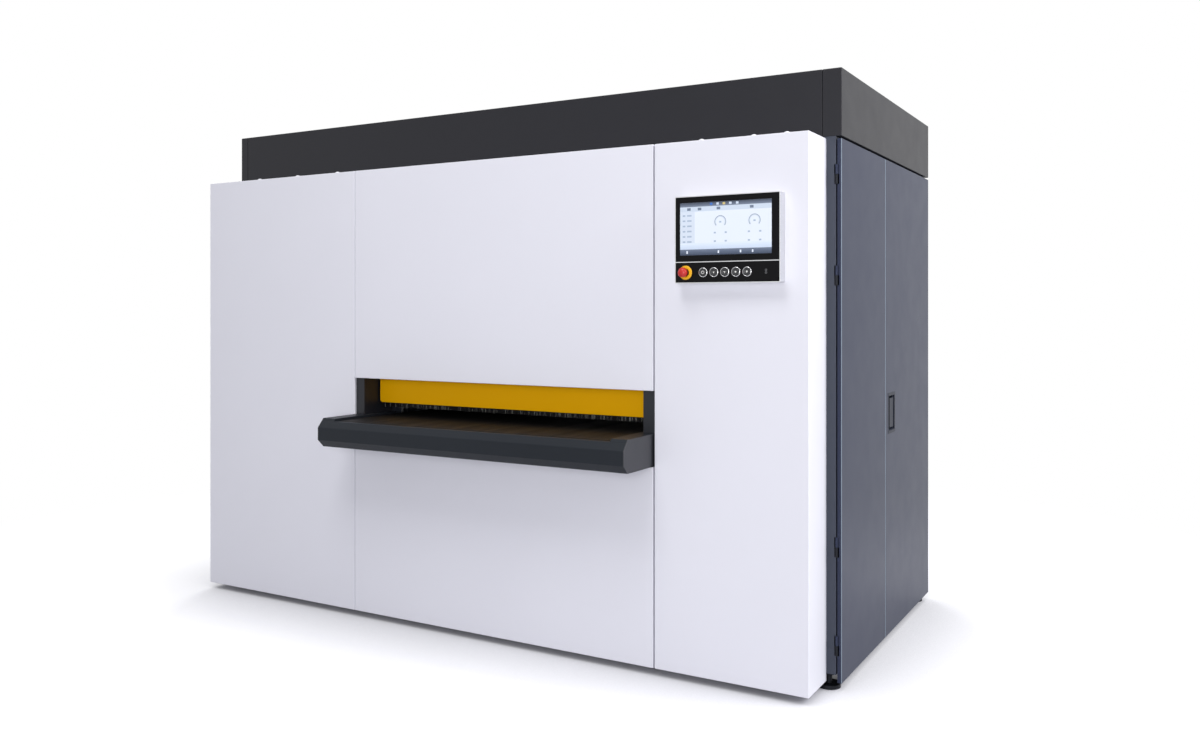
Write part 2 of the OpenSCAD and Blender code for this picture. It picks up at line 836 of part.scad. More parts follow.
// Sanding unit: a rubber-covered drum, a tension roller above it and the abrasive belt round both
drum_out = 715;
pulley_r = 70;
pulley_w = 40;
pulley_in = 10;
pulley_x = plate_xs[0] - pulley_in - pulley_w;
module contact_drum() {
  color("#3b3b3b") {
    bar_x([bay_offset - drum_out, drum_y, drum_z], drum_r, 2 * drum_out);
    bar_x([pulley_x, drum_y, drum_z], drum_journal_r, bearing_l + bearing_x - pulley_x);
    bar_x([pulley_x, drum_y, drum_z], pulley_r, pulley_w);
  }
}
module tension_roller() {
  color("silver") {
    bar_x([bay_offset - drum_out, drum_y, tension_z], tension_r, 2 * drum_out);
    bar_x([bearing_x, drum_y, tension_z], tension_journal_r, bearing_l);
  }
}
// Outline of a belt round two circles whose middles are a span apart along the second axis, as
// chords of the two arcs between the tangents
arc_n = 36;
module tangent_loop(r1, r2, span) {
  a = asin((r1 - r2) / span);
  polygon(concat(
    [for (i = [0 : arc_n]) let (t = a - i / arc_n * (180 + 2 * a)) r1 * [cos(t), sin(t)]],
    [for (i = [0 : arc_n]) let (t = 180 - a - i / arc_n * (180 - 2 * a))
      [r2 * cos(t), span + r2 * sin(t)]]
  ));
}
module abrasive_belt() {
  color("#8a4a2a") translate([0, drum_y, drum_z]) along_x(bay_offset - belt_w / 2, belt_w)
    difference() {
      tangent_loop(drum_r + run_gap + grit_t, tension_r + run_gap + grit_t, drum_span);
      tangent_loop(drum_r + run_gap, tension_r + run_gap, drum_span);
    }
}
motor_l = 420;
motor_r = 125;
motor_base_t = 15;
motor_foot_w = 180;
motor_in = 20;
motor_shaft_r = 14;
motor_shaft_in = 60;
small_pulley_r = 60;
motor_x = plate_xs[0] + plate_t + motor_in;
motor_z = head_top + motor_base_t + motor_r;
module sanding_motor() {
  color("#3a5a86") difference() {
    union() {
      box([motor_x, head_y, head_top],
          [motor_x + motor_l, head_y + tie_ys[1] + tie_w, head_top + motor_base_t]);
      bar_x([motor_x, drum_y, motor_z], motor_r, motor_l);
      box([motor_x, drum_y - motor_foot_w / 2, head_top + motor_base_t],
          [motor_x + motor_l, drum_y + motor_foot_w / 2, motor_z]);
    }
    bar_x([motor_x - over, drum_y, motor_z], motor_shaft_r + fit, motor_shaft_in + over);
  }
}
module motor_pulley() {
  color("#4c4c50") {
    bar_x([pulley_x, drum_y, motor_z], small_pulley_r, pulley_w);
    bar_x([pulley_x, drum_y, motor_z], motor_shaft_r, motor_x + motor_shaft_in - pulley_x - over);
  }
}
drive_belt_w = 30;
drive_belt_t = 8;
module drive_belt() {
  span = motor_z - drum_z;
  color("#1c1c1c") translate([0, drum_y, drum_z])
    along_x(pulley_x + (pulley_w - drive_belt_w) / 2, drive_belt_w) difference() {
      tangent_loop(pulley_r + run_gap + drive_belt_t, small_pulley_r + run_gap + drive_belt_t, span);
      tangent_loop(pulley_r + run_gap, small_pulley_r + run_gap, span);
    }
}

// Brush unit: a beam that slides on two rods, with four disc brushes and a motor over each
disc_n = 4;
disc_t = 64;
plate_disc_t = 12;
disc_shaft_r = 20;
disc_core_share = 0.3;
beam_low = 196;
beam_h = 120;
beam_w = 160;
beam_wall = 12;
beam_out = 718;
ear_l = 90;
ear_out = 440;
ear_h = 80;
beam_z = tool_z + beam_low;
brush_motor_r = 70;
brush_motor_h = 220;
// Middle of disc i, counted from 0
function disc_x(i) = bay_offset + (i - (disc_n - 1) / 2) * disc_pitch;
module brush_beam() {
  color("#8f9298") difference() {
    union() {
      difference() {
        box([bay_offset - beam_out, brush_y - beam_w / 2, beam_z],
            [bay_offset + beam_out, brush_y + beam_w / 2, beam_z + beam_h]);
        box([bay_offset - beam_out - over, brush_y - beam_w / 2 + beam_wall, beam_z + beam_wall],
            [bay_offset + beam_out + over, brush_y + beam_w / 2 - beam_wall,
             beam_z + beam_h - beam_wall]);
      }
      for (s = [-1, 1]) for (d = [-1, 1])
        box([bay_offset + s * ear_out - ear_l / 2,
             brush_y + d * rod_out - (rod_out - beam_w / 2), rod_height - ear_h / 2],
            [bay_offset + s * ear_out + ear_l / 2,
             brush_y + d * rod_out + (rod_out - beam_w / 2), rod_height + ear_h / 2]);
    }
    for (y = rod_ys) bar_x([bearing_x, y, rod_height], rod_r + fit, bearing_l);
    for (i = [0 : disc_n - 1])
      bar_z([disc_x(i), brush_y, beam_z - over], disc_shaft_r + fit, beam_h + 2 * over);
  }
}
module brush_motors() {
  color("#3a5a86") for (i = [0 : disc_n - 1])
    bar_z([disc_x(i), brush_y, beam_z + beam_h], brush_motor_r, brush_motor_h);
}
module disc_brush(i) {
  color("#a0522d") {
    difference() {
      bar_z([disc_x(i), brush_y, tool_z], disc_r, disc_t);
      bar_z([disc_x(i), brush_y, tool_z - over], disc_core_share * disc_r, disc_t + over);
    }
    bar_z([disc_x(i), brush_y, tool_z + disc_t], disc_r, plate_disc_t);
    bar_z([disc_x(i), brush_y, tool_z + disc_t], disc_shaft_r,
          beam_z + beam_h - tool_z - disc_t - run_gap);
  }
}
module disc_brush_1() { disc_brush(0); }
module disc_brush_2() { disc_brush(1); }
module disc_brush_3() { disc_brush(2); }
module disc_brush_4() { disc_brush(3); }

// Rubber pressure rollers before and behind the tools
module pressure_roller(y) {
  color("#2a2a2a") {
    bar_x([bay_offset - drum_out, y, press_z], press_r, 2 * drum_out);
    bar_x([bearing_x, y, press_z], journal_r, bearing_l);
  }
}
module pressure_roller_front() { pressure_roller(press_y_front); }
module pressure_roller_rear() { pressure_roller(press_y_rear); }

// Control cabinet on the base behind the rear panel, and the main switch that passes through it
cabinet_w = 400;
cabinet_h = 1600;
cabinet_d = 600;
cabinet_in = 8;
cabinet_gap = 2;
cabinet_wall = 3;
cabinet_x = post_left + post + cabinet_in;
cabinet_y = rear_post_y - cabinet_gap;
module control_cabinet() {
  color("#b9bcc2") difference() {
    box([cabinet_x, cabinet_y - cabinet_d, base_top],
        [cabinet_x + cabinet_w, cabinet_y, base_top + cabinet_h]);
    box([cabinet_x + cabinet_wall, cabinet_y - cabinet_d + cabinet_wall, base_top + cabinet_wall],
        [cabinet_x + cabinet_w - cabinet_wall, cabinet_y - cabinet_wall,
         base_top + cabinet_h - cabinet_wall]);
    bar_y([switch_x, cabinet_y - rear_in, switch_z], shaft_r + fit, rear_in + over);
  }
}
knob_r = 30;
knob_d = 22;
grip_w = 14;
grip_d = 14;
module main_switch() {
  color("#c01818") {
    bar_y([switch_x, rear_y + run_gap, switch_z], knob_r, knob_d);
    box([switch_x - grip_w / 2, rear_y + run_gap + knob_d, switch_z - knob_r],
        [switch_x + grip_w / 2, rear_y + run_gap + knob_d + grip_d, switch_z + knob_r]);
    bar_y([switch_x, cabinet_y - rear_in + run_gap, switch_z], shaft_r,
          rear_y - cabinet_y + rear_in + knob_d);
  }
}

// Operator panel: a tray that stands on the right panel, its front bored for the buttons
hmi_wall = 6;
hmi_x = right_edge + hmi_in;
hmi_y = front_y - hmi_d;
screen_t = 3;
screen_gap = 0.5;
screen_in = 23;
screen_low = 107;
button_up = 41;
button_z = hmi_z + button_up;
button_tube_r = 16;
ring_r = 18.5;
ring_t = 3;
tube_r = 14;
tube_d = 28;
button_n = 5;
button_in = 119;
button_pitch = 44.5;
estop_in = 46;
estop_x = hmi_x + estop_in;
// Middle of pushbutton i, counted from 1
function button_x(i) = hmi_x + button_in + (i - 1) * button_pitch;
module hmi_housing() {
  color("#1b1c1f") difference() {
    box([hmi_x, hmi_y, hmi_z], [hmi_x + hmi_w, front_y, hmi_z + hmi_h]);
    box([hmi_x + hmi_wall, hmi_y + hmi_wall, hmi_z + hmi_wall],
        [hmi_x + hmi_w - hmi_wall, front_y + over, hmi_z + hmi_h - hmi_wall]);
    box([hmi_x + screen_in - screen_gap, hmi_y - over, hmi_z + screen_low - screen_gap],
        [hmi_x + screen_in + screen_w + screen_gap, hmi_y + screen_t,
         hmi_z + screen_low + screen_h + screen_gap]);
    for (x = concat([estop_x], [for (i = [1 : button_n]) button_x(i)]))
      bar_y([x, hmi_y - over, button_z], button_tube_r + fit, hmi_wall + 2 * over);
  }
}
module hmi_screen() {
  color("#aebfd2")
    box([hmi_x + screen_in, hmi_y, hmi_z + screen_low],
        [hmi_x + screen_in + screen_w, hmi_y + screen_t, hmi_z + screen_low + screen_h]);
}
stem_r = 6;
end_t = 3;
// A bezel: a flange on the panel and a tube through it, whose end guides the button's stem
module bezel(x, flange_r, guide_r) {
  difference() {
    union() {
      bar_y([x, hmi_y - ring_t, button_z], flange_r, ring_t);
      bar_y([x, hmi_y, button_z], button_tube_r, tube_d);
    }
    bar_y([x, hmi_y - ring_t - over, button_z], tube_r, ring_t + tube_d - end_t + over);
    bar_y([x, hmi_y, button_z], guide_r + fit, tube_d + over);
  }
}
module button_rings() {
  color("silver") for (i = [1 : button_n]) bezel(button_x(i), ring_r, stem_r);
}
estop_ring_r = 27;
module estop_base() {
  color("#f0b400") bezel(estop_x, estop_ring_r, stem_r);
}
button_proud = 1.5;
button_d = 18;
button_stem = 16;
module pushbutton(i) {
  y = hmi_y - ring_t - button_proud;
  color("#202124") {
    bar_y([button_x(i), y, button_z], tube_r - run_gap, button_d);
    bar_y([button_x(i), y + button_d, button_z], stem_r, button_stem);
  }
}
module pushbutton_1() { pushbutton(1); }
module pushbutton_2() { pushbutton(2); }
module pushbutton_3() { pushbutton(3); }
module pushbutton_4() { pushbutton(4); }
module pushbutton_5() { pushbutton(5); }

// Emergency stop: the plunger is pressed, and the mushroom turns on the plunger's spindle
mushroom_r = 19.5;
mushroom_h = 24;
mushroom_edge_h = 9;
mushroom_out = 40;
spindle_r = 5;
plunger_d = 18;
module estop_plunger() {
  color("#303236") {
    bar_y([estop_x, hmi_y - ring_t, button_z], tube_r - run_gap, plunger_d);
    bar_y([estop_x, hmi_y - ring_t + plunger_d, button_z], stem_r, button_stem);
    bar_y([estop_x, hmi_y - mushroom_out + mushroom_edge_h, button_z], spindle_r,
          mushroom_out - mushroom_edge_h);
  }
}
neck_r = 11;
module estop_button() {
  y = hmi_y - mushroom_out;
  dome = (mushroom_r * mushroom_r + mushroom_edge_h * mushroom_edge_h) / (2 * mushroom_edge_h);
  color("#c81e1e") difference() {
    union() {
      intersection() {
        translate([estop_x, y + dome, button_z]) sphere(r = dome);
        bar_y([estop_x, y - over, button_z], mushroom_r, mushroom_edge_h + over);
      }
      bar_y([estop_x, y + mushroom_edge_h, button_z], mushroom_r, mushroom_edge_h);
      bar_y([estop_x, y + mushroom_edge_h, button_z], neck_r,
            mushroom_out - ring_t - mushroom_edge_h - run_gap);
    }
    bar_y([estop_x, y + mushroom_edge_h - run_gap, button_z], spindle_r + fit, mushroom_out);
  }
}

base_frame();
levelling_feet();
frame_posts();
front_panel_left();
front_panel_upper();
front_panel_lower();
front_panel_right();
panel_screws();
opening_jambs();
attic_front();
attic_rear();
attic_sides();
roof_deck();
left_side_panels();
rear_panels();
side_door_front();
side_door_rear();
hinge_pins();
handle_dish();
handle_paddle();
latch_tongue();
infeed_table();
outfeed_table();
conveyor_frame();
conveyor_belt();
drive_roller();
drum_motor();
idler_roller();
head_carriage();
lift_columns();
lift_drive();
infeed_guard();
brush_curtain();
contact_drum();
tension_roller();
abrasive_belt();
sanding_motor();
motor_pulley();
drive_belt();
brush_beam();
brush_motors();
disc_brush_1();
disc_brush_2();
disc_brush_3();
disc_brush_4();
pressure_roller_front();
pressure_roller_rear();
control_cabinet();
main_switch();
hmi_housing();
hmi_screen();
button_rings();
estop_base();
estop_plunger();
estop_button();
pushbutton_1();
pushbutton_2();
pushbutton_3();
pushbutton_4();
pushbutton_5();
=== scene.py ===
import json
import math

import bmesh
import bpy
import numpy as np
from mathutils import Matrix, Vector


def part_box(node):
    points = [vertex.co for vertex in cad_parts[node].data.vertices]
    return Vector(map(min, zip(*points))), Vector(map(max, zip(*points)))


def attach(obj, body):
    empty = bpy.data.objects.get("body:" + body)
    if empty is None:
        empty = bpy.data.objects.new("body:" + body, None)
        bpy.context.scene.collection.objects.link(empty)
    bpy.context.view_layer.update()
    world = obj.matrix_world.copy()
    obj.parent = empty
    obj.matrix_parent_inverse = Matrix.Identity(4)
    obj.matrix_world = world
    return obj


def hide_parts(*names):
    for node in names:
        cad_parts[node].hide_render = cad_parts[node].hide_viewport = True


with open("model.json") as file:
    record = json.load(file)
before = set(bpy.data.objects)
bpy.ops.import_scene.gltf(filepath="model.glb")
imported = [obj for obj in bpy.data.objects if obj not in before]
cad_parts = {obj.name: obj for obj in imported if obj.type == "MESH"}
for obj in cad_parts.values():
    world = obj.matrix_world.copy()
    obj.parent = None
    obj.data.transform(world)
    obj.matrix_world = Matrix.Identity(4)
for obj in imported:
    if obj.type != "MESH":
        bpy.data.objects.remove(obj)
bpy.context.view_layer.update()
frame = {"nodes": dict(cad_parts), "record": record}
nodes = frame["nodes"]
MM = 0.001

# Studio. The camera stands at eye height to the right of the operator's side, level and turned
# 30 degrees to the left. Its small vertical shift is the photograph's own: the horizon lies
# above the middle of the picture.
picture_w, picture_h = 1200, 750
horizon_px, focal_px = 309.06, 1030.05


def placed(name, data):
    """A new object for the data, in the scene."""
    thing = bpy.data.objects.new(name, data)
    bpy.context.scene.collection.objects.link(thing)
    return thing


camera_data = bpy.data.cameras.new("camera")
camera = placed("camera", camera_data)
bpy.context.scene.camera = camera
camera.location = (2.796, -4.460, 1.449)
camera.rotation_euler = (math.radians(90), 0, math.radians(30))
camera_data.sensor_width = 36
camera_data.lens = focal_px / picture_w * camera_data.sensor_width
camera_data.shift_y = (horizon_px - picture_h / 2) / picture_w
camera_data.clip_end = 100
bpy.context.scene.view_settings.view_transform = "Standard"


def linear(colour, factor=1, shift=0):
    """Display values from 0 to 255, times a factor plus a shift, as a shader's linear values."""
    c = (np.array(colour) * factor + shift) / 255
    return tuple(np.where(c <= 0.04045, c / 12.92, ((c + 0.055) / 1.055) ** 2.4)) + (1.0,)


def shader_nodes(name):
    """A new material, its node tree and its Principled shader."""
    material = bpy.data.materials.new(name)
    material.use_nodes = True
    tree = material.node_tree
    return material, tree, tree.nodes["Principled BSDF"]


def added(tree, kind, inputs=None, **settings):
    """A new shader node of a kind, with its settings, and each of its inputs a value or a socket."""
    node = tree.nodes.new("ShaderNode" + kind)
    for key, value in settings.items():
        setattr(node, key, value)
    for key, value in (inputs or {}).items():
        if isinstance(value, bpy.types.NodeSocket):
            tree.links.new(value, node.inputs[key])
        else:
            node.inputs[key].default_value = value
    return node


def maths(tree, operation, a, b):
    """The socket of a Math node with two inputs, each a number or a socket."""
    return added(tree, "Math", {0: a, 1: b}, operation=operation).outputs["Value"]


def blended(tree, share, one, two):
    """The socket of a shader that runs from one to two with the share."""
    return added(tree, "MixShader", {0: share, 1: one, 2: two}).outputs["Shader"]


def looked_at(tree):
    """A socket that is 1 for rays that show the background: from the camera, a mirror or glass."""
    path = added(tree, "LightPath").outputs
    mirror_or_glass = maths(tree, "MAXIMUM", path["Is Glossy Ray"], path["Is Transmission Ray"])
    return maths(tree, "MAXIMUM", path["Is Camera Ray"], mirror_or_glass)


WHITE = (1, 1, 1, 1)


def plain_world(strength, tint):
    """The room: a pale tint of even strength, and pure white where a camera or a mirror looks at it."""
    world = bpy.data.worlds.new("room")
    world.use_nodes = True
    bpy.context.scene.world = world
    tree = world.node_tree
    lit = tree.nodes["Background"]
    lit.inputs["Color"].default_value = tint
    lit.inputs["Strength"].default_value = strength
    seen = added(tree, "Background", {"Color": WHITE, "Strength": 1.0})
    surface = blended(tree, looked_at(tree), lit.outputs["Background"], seen.outputs["Background"])
    tree.links.new(surface, tree.nodes["World Output"].inputs["Surface"])


def soft_box(name, place, target, size, power):
    """A square white lamp of the given size that looks from its place to its target."""
    data = bpy.data.lights.new(name, "AREA")
    data.shape, data.size, data.energy = "SQUARE", size, power
    lamp = placed(name, data)
    lamp.location = place
    lamp.rotation_euler = (Vector(target) - Vector(place)).to_track_quat("-Z", "Y").to_euler()


plain_world(0.32, (0.97, 0.975, 1.0, 1))
soft_box("front_lamp", (3.2, -7.5, 1.7), (0.7, 0, 1.1), 2.5, 196)
soft_box("right_lamp", (6.5, -0.2, 5.0), (1.6, -0.3, 1.9), 3.5, 450)
soft_box("top_lamp", (0.8, -4.2, 6.8), (0.3, -0.6, 1.0), 2.5, 165)
soft_box("rear_lamp", (-4.5, 7.0, 4.0), (-0.5, 0.5, 1.2), 3.5, 320)

# Floor. A matt grey that glows where it is looked at, less so in corners, so that the machine stands
# in soft shadows. With the distance from the machine's middle it fades to the white of the room.
floor_half, floor_glow, shadow_reach, shadow_depth = 30, 0.74, 0.7, 1.3
fade_start, fade_end = 2.4, 4.2
floor_mesh = bpy.data.meshes.new("floor")
floor_mesh.from_pydata([(-floor_half, -floor_half, 0), (floor_half, -floor_half, 0),
                        (floor_half, floor_half, 0), (-floor_half, floor_half, 0)], [], [(0, 1, 2, 3)])
floor = placed("floor", floor_mesh)
floor_paint, tree, shader = shader_nodes("floor_paint")
shader.inputs["Base Color"].default_value = (0.42, 0.42, 0.46, 1)
shader.inputs["Roughness"].default_value = 0.9
seen = looked_at(tree)
open_sky = added(tree, "AmbientOcclusion", {"Distance": shadow_reach}, samples=8).outputs["AO"]
strength = maths(tree, "MULTIPLY", maths(tree, "POWER", open_sky, shadow_depth),
                 maths(tree, "MULTIPLY", seen, floor_glow))
glow = added(tree, "Emission", {"Color": WHITE, "Strength": strength})
near = added(tree, "AddShader", {0: shader.outputs["BSDF"], 1: glow.outputs["Emission"]})
white = added(tree, "Emission", {"Color": WHITE})
place = added(tree, "TexCoord").outputs["Object"]
distance = added(tree, "VectorMath", {0: place}, operation="LENGTH").outputs["Value"]
fade = added(tree, "MapRange", {"Value": distance, "From Min": fade_start, "From Max": fade_end})
surface = blended(tree, maths(tree, "MULTIPLY", fade.outputs["Result"], seen),
                  near.outputs["Shader"], white.outputs["Emission"])
tree.links.new(surface, tree.nodes["Material Output"].inputs["Surface"])
floor_mesh.materials.append(floor_paint)


def texture(tree, kind, scale, stretch=None, **values):
    """A texture node of a kind, read on Object coordinates in metres, at so many cells a metre, or
    more along an axis by that axis' factor of stretch."""
    place = added(tree, "TexCoord").outputs["Object"]
    if stretch:
        place = added(tree, "Mapping", {"Vector": place, "Scale": stretch}).outputs["Vector"]
    return added(tree, "Tex" + kind, {"Vector": place, "Scale": scale, **values})


def spread(tree, source, low, high):
    """The source's values from 0 to 1 laid out from low to high."""
    return added(tree, "MapRange", {"Value": source, "To Min": low, "To Max": high}).outputs["Result"]


def uneven_gloss(tree, shader, source, low, high):
    """Roughness that runs from low to high with the source."""
    tree.links.new(spread(tree, source, low, high), shader.inputs["Roughness"])


def two_tone(tree, shader, factor, one, two):
    """Base colour that runs from one to two with the factor."""
    mix = added(tree, "Mix", {"Factor": factor, "A": one, "B": two}, data_type="RGBA")
    tree.links.new(mix.outputs["Result"], shader.inputs["Base Color"])


def relief(tree, shader, height, depth, strength):
    """Bump of the given depth in metres from a height between 0 and 1."""
    bump = added(tree, "Bump", {"Height": height, "Distance": depth, "Strength": strength})
    tree.links.new(bump.outputs["Normal"], shader.inputs["Normal"])


def powder_coat(name, colour, shift, roughness, shine=0.5, peel=0.00006):
    """Baked powder paint: two near tones in broad clouds, uneven gloss and a fine orange peel."""
    material, tree, shader = shader_nodes(name)
    clouds = texture(tree, "Noise", 1.7, Detail=3.0)
    two_tone(tree, shader, clouds.outputs["Fac"], linear(colour), linear(colour, shift=shift))
    patches = texture(tree, "Noise", 9.0, Detail=4.0)
    uneven_gloss(tree, shader, patches.outputs["Fac"], roughness - 0.05, roughness + 0.05)
    shader.inputs["Specular IOR Level"].default_value = shine
    skin = texture(tree, "Noise", 420, Detail=2.0)
    relief(tree, shader, skin.outputs["Fac"], peel, 0.35)
    return material


def outline(width, height, radius, steps, marks=()):
    """Points of a rectangle with round corners, counterclockwise: one quarter circle a corner, and a
    point at each marked height on both upright sides."""
    turn = np.radians(np.linspace(0, 90, steps + 1))
    corners = np.array([[1, -1], [1, 1], [-1, 1], [-1, -1]])
    starts = np.radians([-90, 0, 90, 180])
    middle = corners * [width / 2 - radius, height / 2 - radius]
    angle = starts[:, None] + turn[None, :]
    ring = middle[:, None, :] + radius * np.stack([np.cos(angle), np.sin(angle)], -1)
    upright = np.column_stack([np.full(len(marks), width / 2), marks])
    return np.concatenate([ring[0], upright, ring[1], ring[2], upright[::-1] * [-1, 1], ring[3]])


def ring_faces(count, size, closed=False):
    """Quads between successive rings of one size, and between the last and the first where closed,
    or else a face on each end."""
    k = np.arange(count if closed else count - 1)[:, None] * size
    j = np.arange(size)[None, :]
    following = (j + 1) % size
    above = (k + size) % (count * size)
    quads = np.stack([k + j, above + j, above + following, k + following], -1).reshape(-1, 4).tolist()
    ends = [list(range(size)), list(range((count - 1) * size, count * size))[::-1]]
    return quads if closed else quads + ends


def finish_piece(name, mesh, node, material, hides=True, edge=0, smooth=40):
    """A piece from a mesh: it rides with the node's body, takes its slot and stands for it where it
    hides it. Its faces are turned outwards and shaded smooth up to the angle, and edge is the width
    of a rounding on its sharp edges."""
    shell = bmesh.new()
    shell.from_mesh(mesh)
    bmesh.ops.recalc_face_normals(shell, faces=shell.faces)
    shell.to_mesh(mesh)
    shell.free()
    mesh.polygons.foreach_set("use_smooth", np.ones(len(mesh.polygons), dtype=bool))
    mesh.set_sharp_from_angle(angle=math.radians(smooth))
    mesh.materials.clear()
    mesh.materials.append(material)
    piece = placed(name, mesh)
    if edge:
        rounding = piece.modifiers.new("edges", "BEVEL")
        rounding.width, rounding.segments, rounding.limit_method = edge, 2, "ANGLE"
        rounding.angle_limit = math.radians(smooth)
        rounding.harden_normals = True
    else:
        weigh = piece.modifiers.new("weighted_normals", "WEIGHTED_NORMAL")
        weigh.keep_sharp = True
    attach(piece, body_of(node))
    if hides:
        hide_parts(node)


def body_of(node):
    """The body that a node belongs to."""
    return next(b for b, members in frame["record"]["behaviour"]["bodies"].items() if node in members)


def build(name, points, faces, node, material, **finish):
    """A piece from points in metres and faces."""
    mesh = bpy.data.meshes.new(name)
    mesh.from_pydata(np.asarray(points).reshape(-1, 3).tolist(), [], faces)
    finish_piece(name, mesh, node, material, **finish)


# For each way a tray can face: the directions of its width and height, and the corner it starts from
FACING = {
    "-y": ((1, 0, 0), (0, 0, 1), (0, 0, 0)),
    "+y": ((-1, 0, 0), (0, 0, 1), (1, 1, 0)),
    "+x": ((0, 1, 0), (0, 0, 1), (1, 0, 0)),
    "-x": ((0, -1, 0), (0, 0, 1), (0, 1, 0)),
}


BEND_STEPS, NOTCH_STEP, CORNER_EASE = 5, 0.1 * MM, 0.2 * MM


def tray_shell(low, high, facing, bend=3 * MM, wall=2 * MM, hole=None, lip=None, notches=None):
    """Closed skin of a folded tray. Rings of a round-cornered rectangle run over the face, round the
    bend as a quarter circle, down the flanges, over their edge and back inside. hole is the low and
    high corner of a cut-out in the face, lip a shorter depth for the lower flange, and notches are a
    side (-1 or 1), a shorter depth there and the heights between which it holds."""
    low, high = np.array(low), np.array(high)
    across, up, start = (np.array(v, dtype=float) for v in FACING[facing])
    inward = -np.cross(across, up)
    size = np.abs(high - low)
    origin = low + start * (high - low)
    width, height, depth = (abs(size @ v) for v in (across, up, inward))
    arc = np.radians(np.linspace(0, 90, BEND_STEPS + 1))
    skin = [(bend * (1 - math.sin(a)), bend * (1 - math.cos(a))) for a in arc]
    lining = [(bend - (bend - wall) * math.cos(a), bend - (bend - wall) * math.sin(a)) for a in arc]
    side, short, spans = notches or (1, depth, np.zeros((0, 2)))
    spans = np.asarray(spans) - low[2] - height / 2
    marks = np.sort(np.concatenate([spans.ravel() - NOTCH_STEP, spans.ravel() + NOTCH_STEP]))
    rings = []
    for inset, deep in [*skin, (0, depth), (wall, depth), *lining[::-1]]:
        flat = outline(width - 2 * inset, height - 2 * inset, bend + CORNER_EASE - inset + 0.01 * MM,
                       BEND_STEPS, marks)
        deep = np.full(len(flat), deep)
        if lip:
            under = flat[:, 1] < bend - height / 2
            deep[under] = np.minimum(deep, lip)[under]
        cut = ((flat[:, 1, None] > spans[:, 0]) & (flat[:, 1, None] < spans[:, 1])).any(1)
        cut &= flat[:, 0] * side > width / 2 - bend
        deep[cut] = np.minimum(deep, short)[cut]
        rings.append(np.column_stack([flat, deep]))
    if hole:
        cut_low, cut_high = np.array(hole[0]) - origin, np.array(hole[1]) - origin
        sides = np.array([[cut_low @ across, cut_low @ up], [cut_high @ across, cut_high @ up]])
        span, middle = np.abs(sides[1] - sides[0]), sides.mean(0) - [width / 2, height / 2]
        # the marks only give this ring as many points as the others
        edge = outline(*span, 2 * MM, BEND_STEPS, np.clip(marks - middle[1], -1, 1) * span[1] / 3) + middle
        rings.insert(0, np.column_stack([edge, np.zeros(len(edge))]))
        rings.append(np.column_stack([edge, np.full(len(edge), wall)]))
    rings = np.array(rings)
    flat = rings.reshape(-1, 3)
    points = (origin + (flat[:, :1] + width / 2) * across + (flat[:, 1:2] + height / 2) * up
              + flat[:, 2:] * inward)
    return points, ring_faces(*rings.shape[:2], closed=bool(hole))


def tray(name, node, facing, material, **shape):
    """A folded tray that stands for a node."""
    build(name, *tray_shell(*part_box(node), facing, **shape), node, material)


# White front. Four deep trays of folded steel sheet, powder-coated in a cool white, hooked on the
# posts and held by mushroom-headed screws on their top edges. The bends have a 3 mm radius, and
# the coat has the fine orange peel of baked powder.
white_coat = powder_coat("white_powder_coat", (232, 232, 241), -4, 0.42)
for place, shape in (("left", {}), ("upper", {"lip": 40 * MM}), ("lower", {}), ("right", {})):
    tray("front_tray_" + place, "front_panel_" + place, "-y", white_coat, **shape)


# Screw caps. Moulded mushroom heads on the studs that hold the two outer panels.
cap_plastic = powder_coat("cap_plastic", (236, 236, 242), -6, 0.35, peel=0.00002)
for slot in nodes["panel_screws"].material_slots:
    slot.material = cap_plastic


# Attic. Folded fascia trays in dark grey satin powder, standing on the top ring. The side trays
# turn round the corners, so the front shows a narrow return at each end.
attic_coat = powder_coat("attic_powder_coat", (33, 33, 38), 3, 0.40, shine=0.22, peel=0.00003)
tray("attic_tray_front", "attic_front", "-y", attic_coat)
tray("attic_tray_rear", "attic_rear", "+y", attic_coat)
attic_low, attic_high = (np.array(c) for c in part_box("attic_sides"))
front_low, front_high = (np.array(c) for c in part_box("attic_front"))
attic_seam = 2 * MM
sides = [tray_shell(attic_low, (front_low[0] - attic_seam, *attic_high[1:]), "-x"),
         tray_shell((front_high[0] + attic_seam, *attic_low[1:]), attic_high, "+x")]


def joined(shells):
    """Several closed shells as one list of points and one list of faces."""
    points, faces, first = [], [], 0
    for shell_points, shell_faces in shells:
        shell_points = np.asarray(shell_points).reshape(-1, 3)
        points.append(shell_points)
        faces += [[first + i for i in face] for face in shell_faces]
        first += len(shell_points)
    return np.concatenate(points), faces


build("attic_trays_sides", *joined(sides), "attic_sides", attic_coat)


WELD_REACH, FLAT_ANGLE = 0.01 * MM, math.radians(0.5)


def softened(name, node, width, material):
    """A merged copy of a CAD node whose sharp edges are rounded by the width in millimetres."""
    shell = bmesh.new()
    shell.from_mesh(nodes[node].data)
    bmesh.ops.remove_doubles(shell, verts=shell.verts, dist=WELD_REACH)
    bmesh.ops.dissolve_limit(shell, angle_limit=FLAT_ANGLE, verts=shell.verts, edges=shell.edges)
    mesh = bpy.data.meshes.new(name)
    shell.to_mesh(mesh)
    shell.free()
    finish_piece(name, mesh, node, material, edge=width * MM, smooth=35)


softened("roof_deck_sheet", "roof_deck", 0.6, attic_coat)


# Dark body. Posts and base are square steel tube and channel, welded and coated in a dark blue
# grey. The side panels and the doors are folded trays with a satin coat of a lighter blue grey.
post_coat = powder_coat("post_powder_coat", (54, 59, 71), 4, 0.40, shine=0.3, peel=0.00003)


def add_painted_highlight(material, factor, colour):
    """Blends a colour, a painted highlight, into the material's base colour by a factor's socket."""
    tree = material.node_tree
    shader = tree.nodes["Principled BSDF"]
    base = shader.inputs["Base Color"].links[0].from_socket
    two_tone(tree, shader, factor, base, linear(colour))


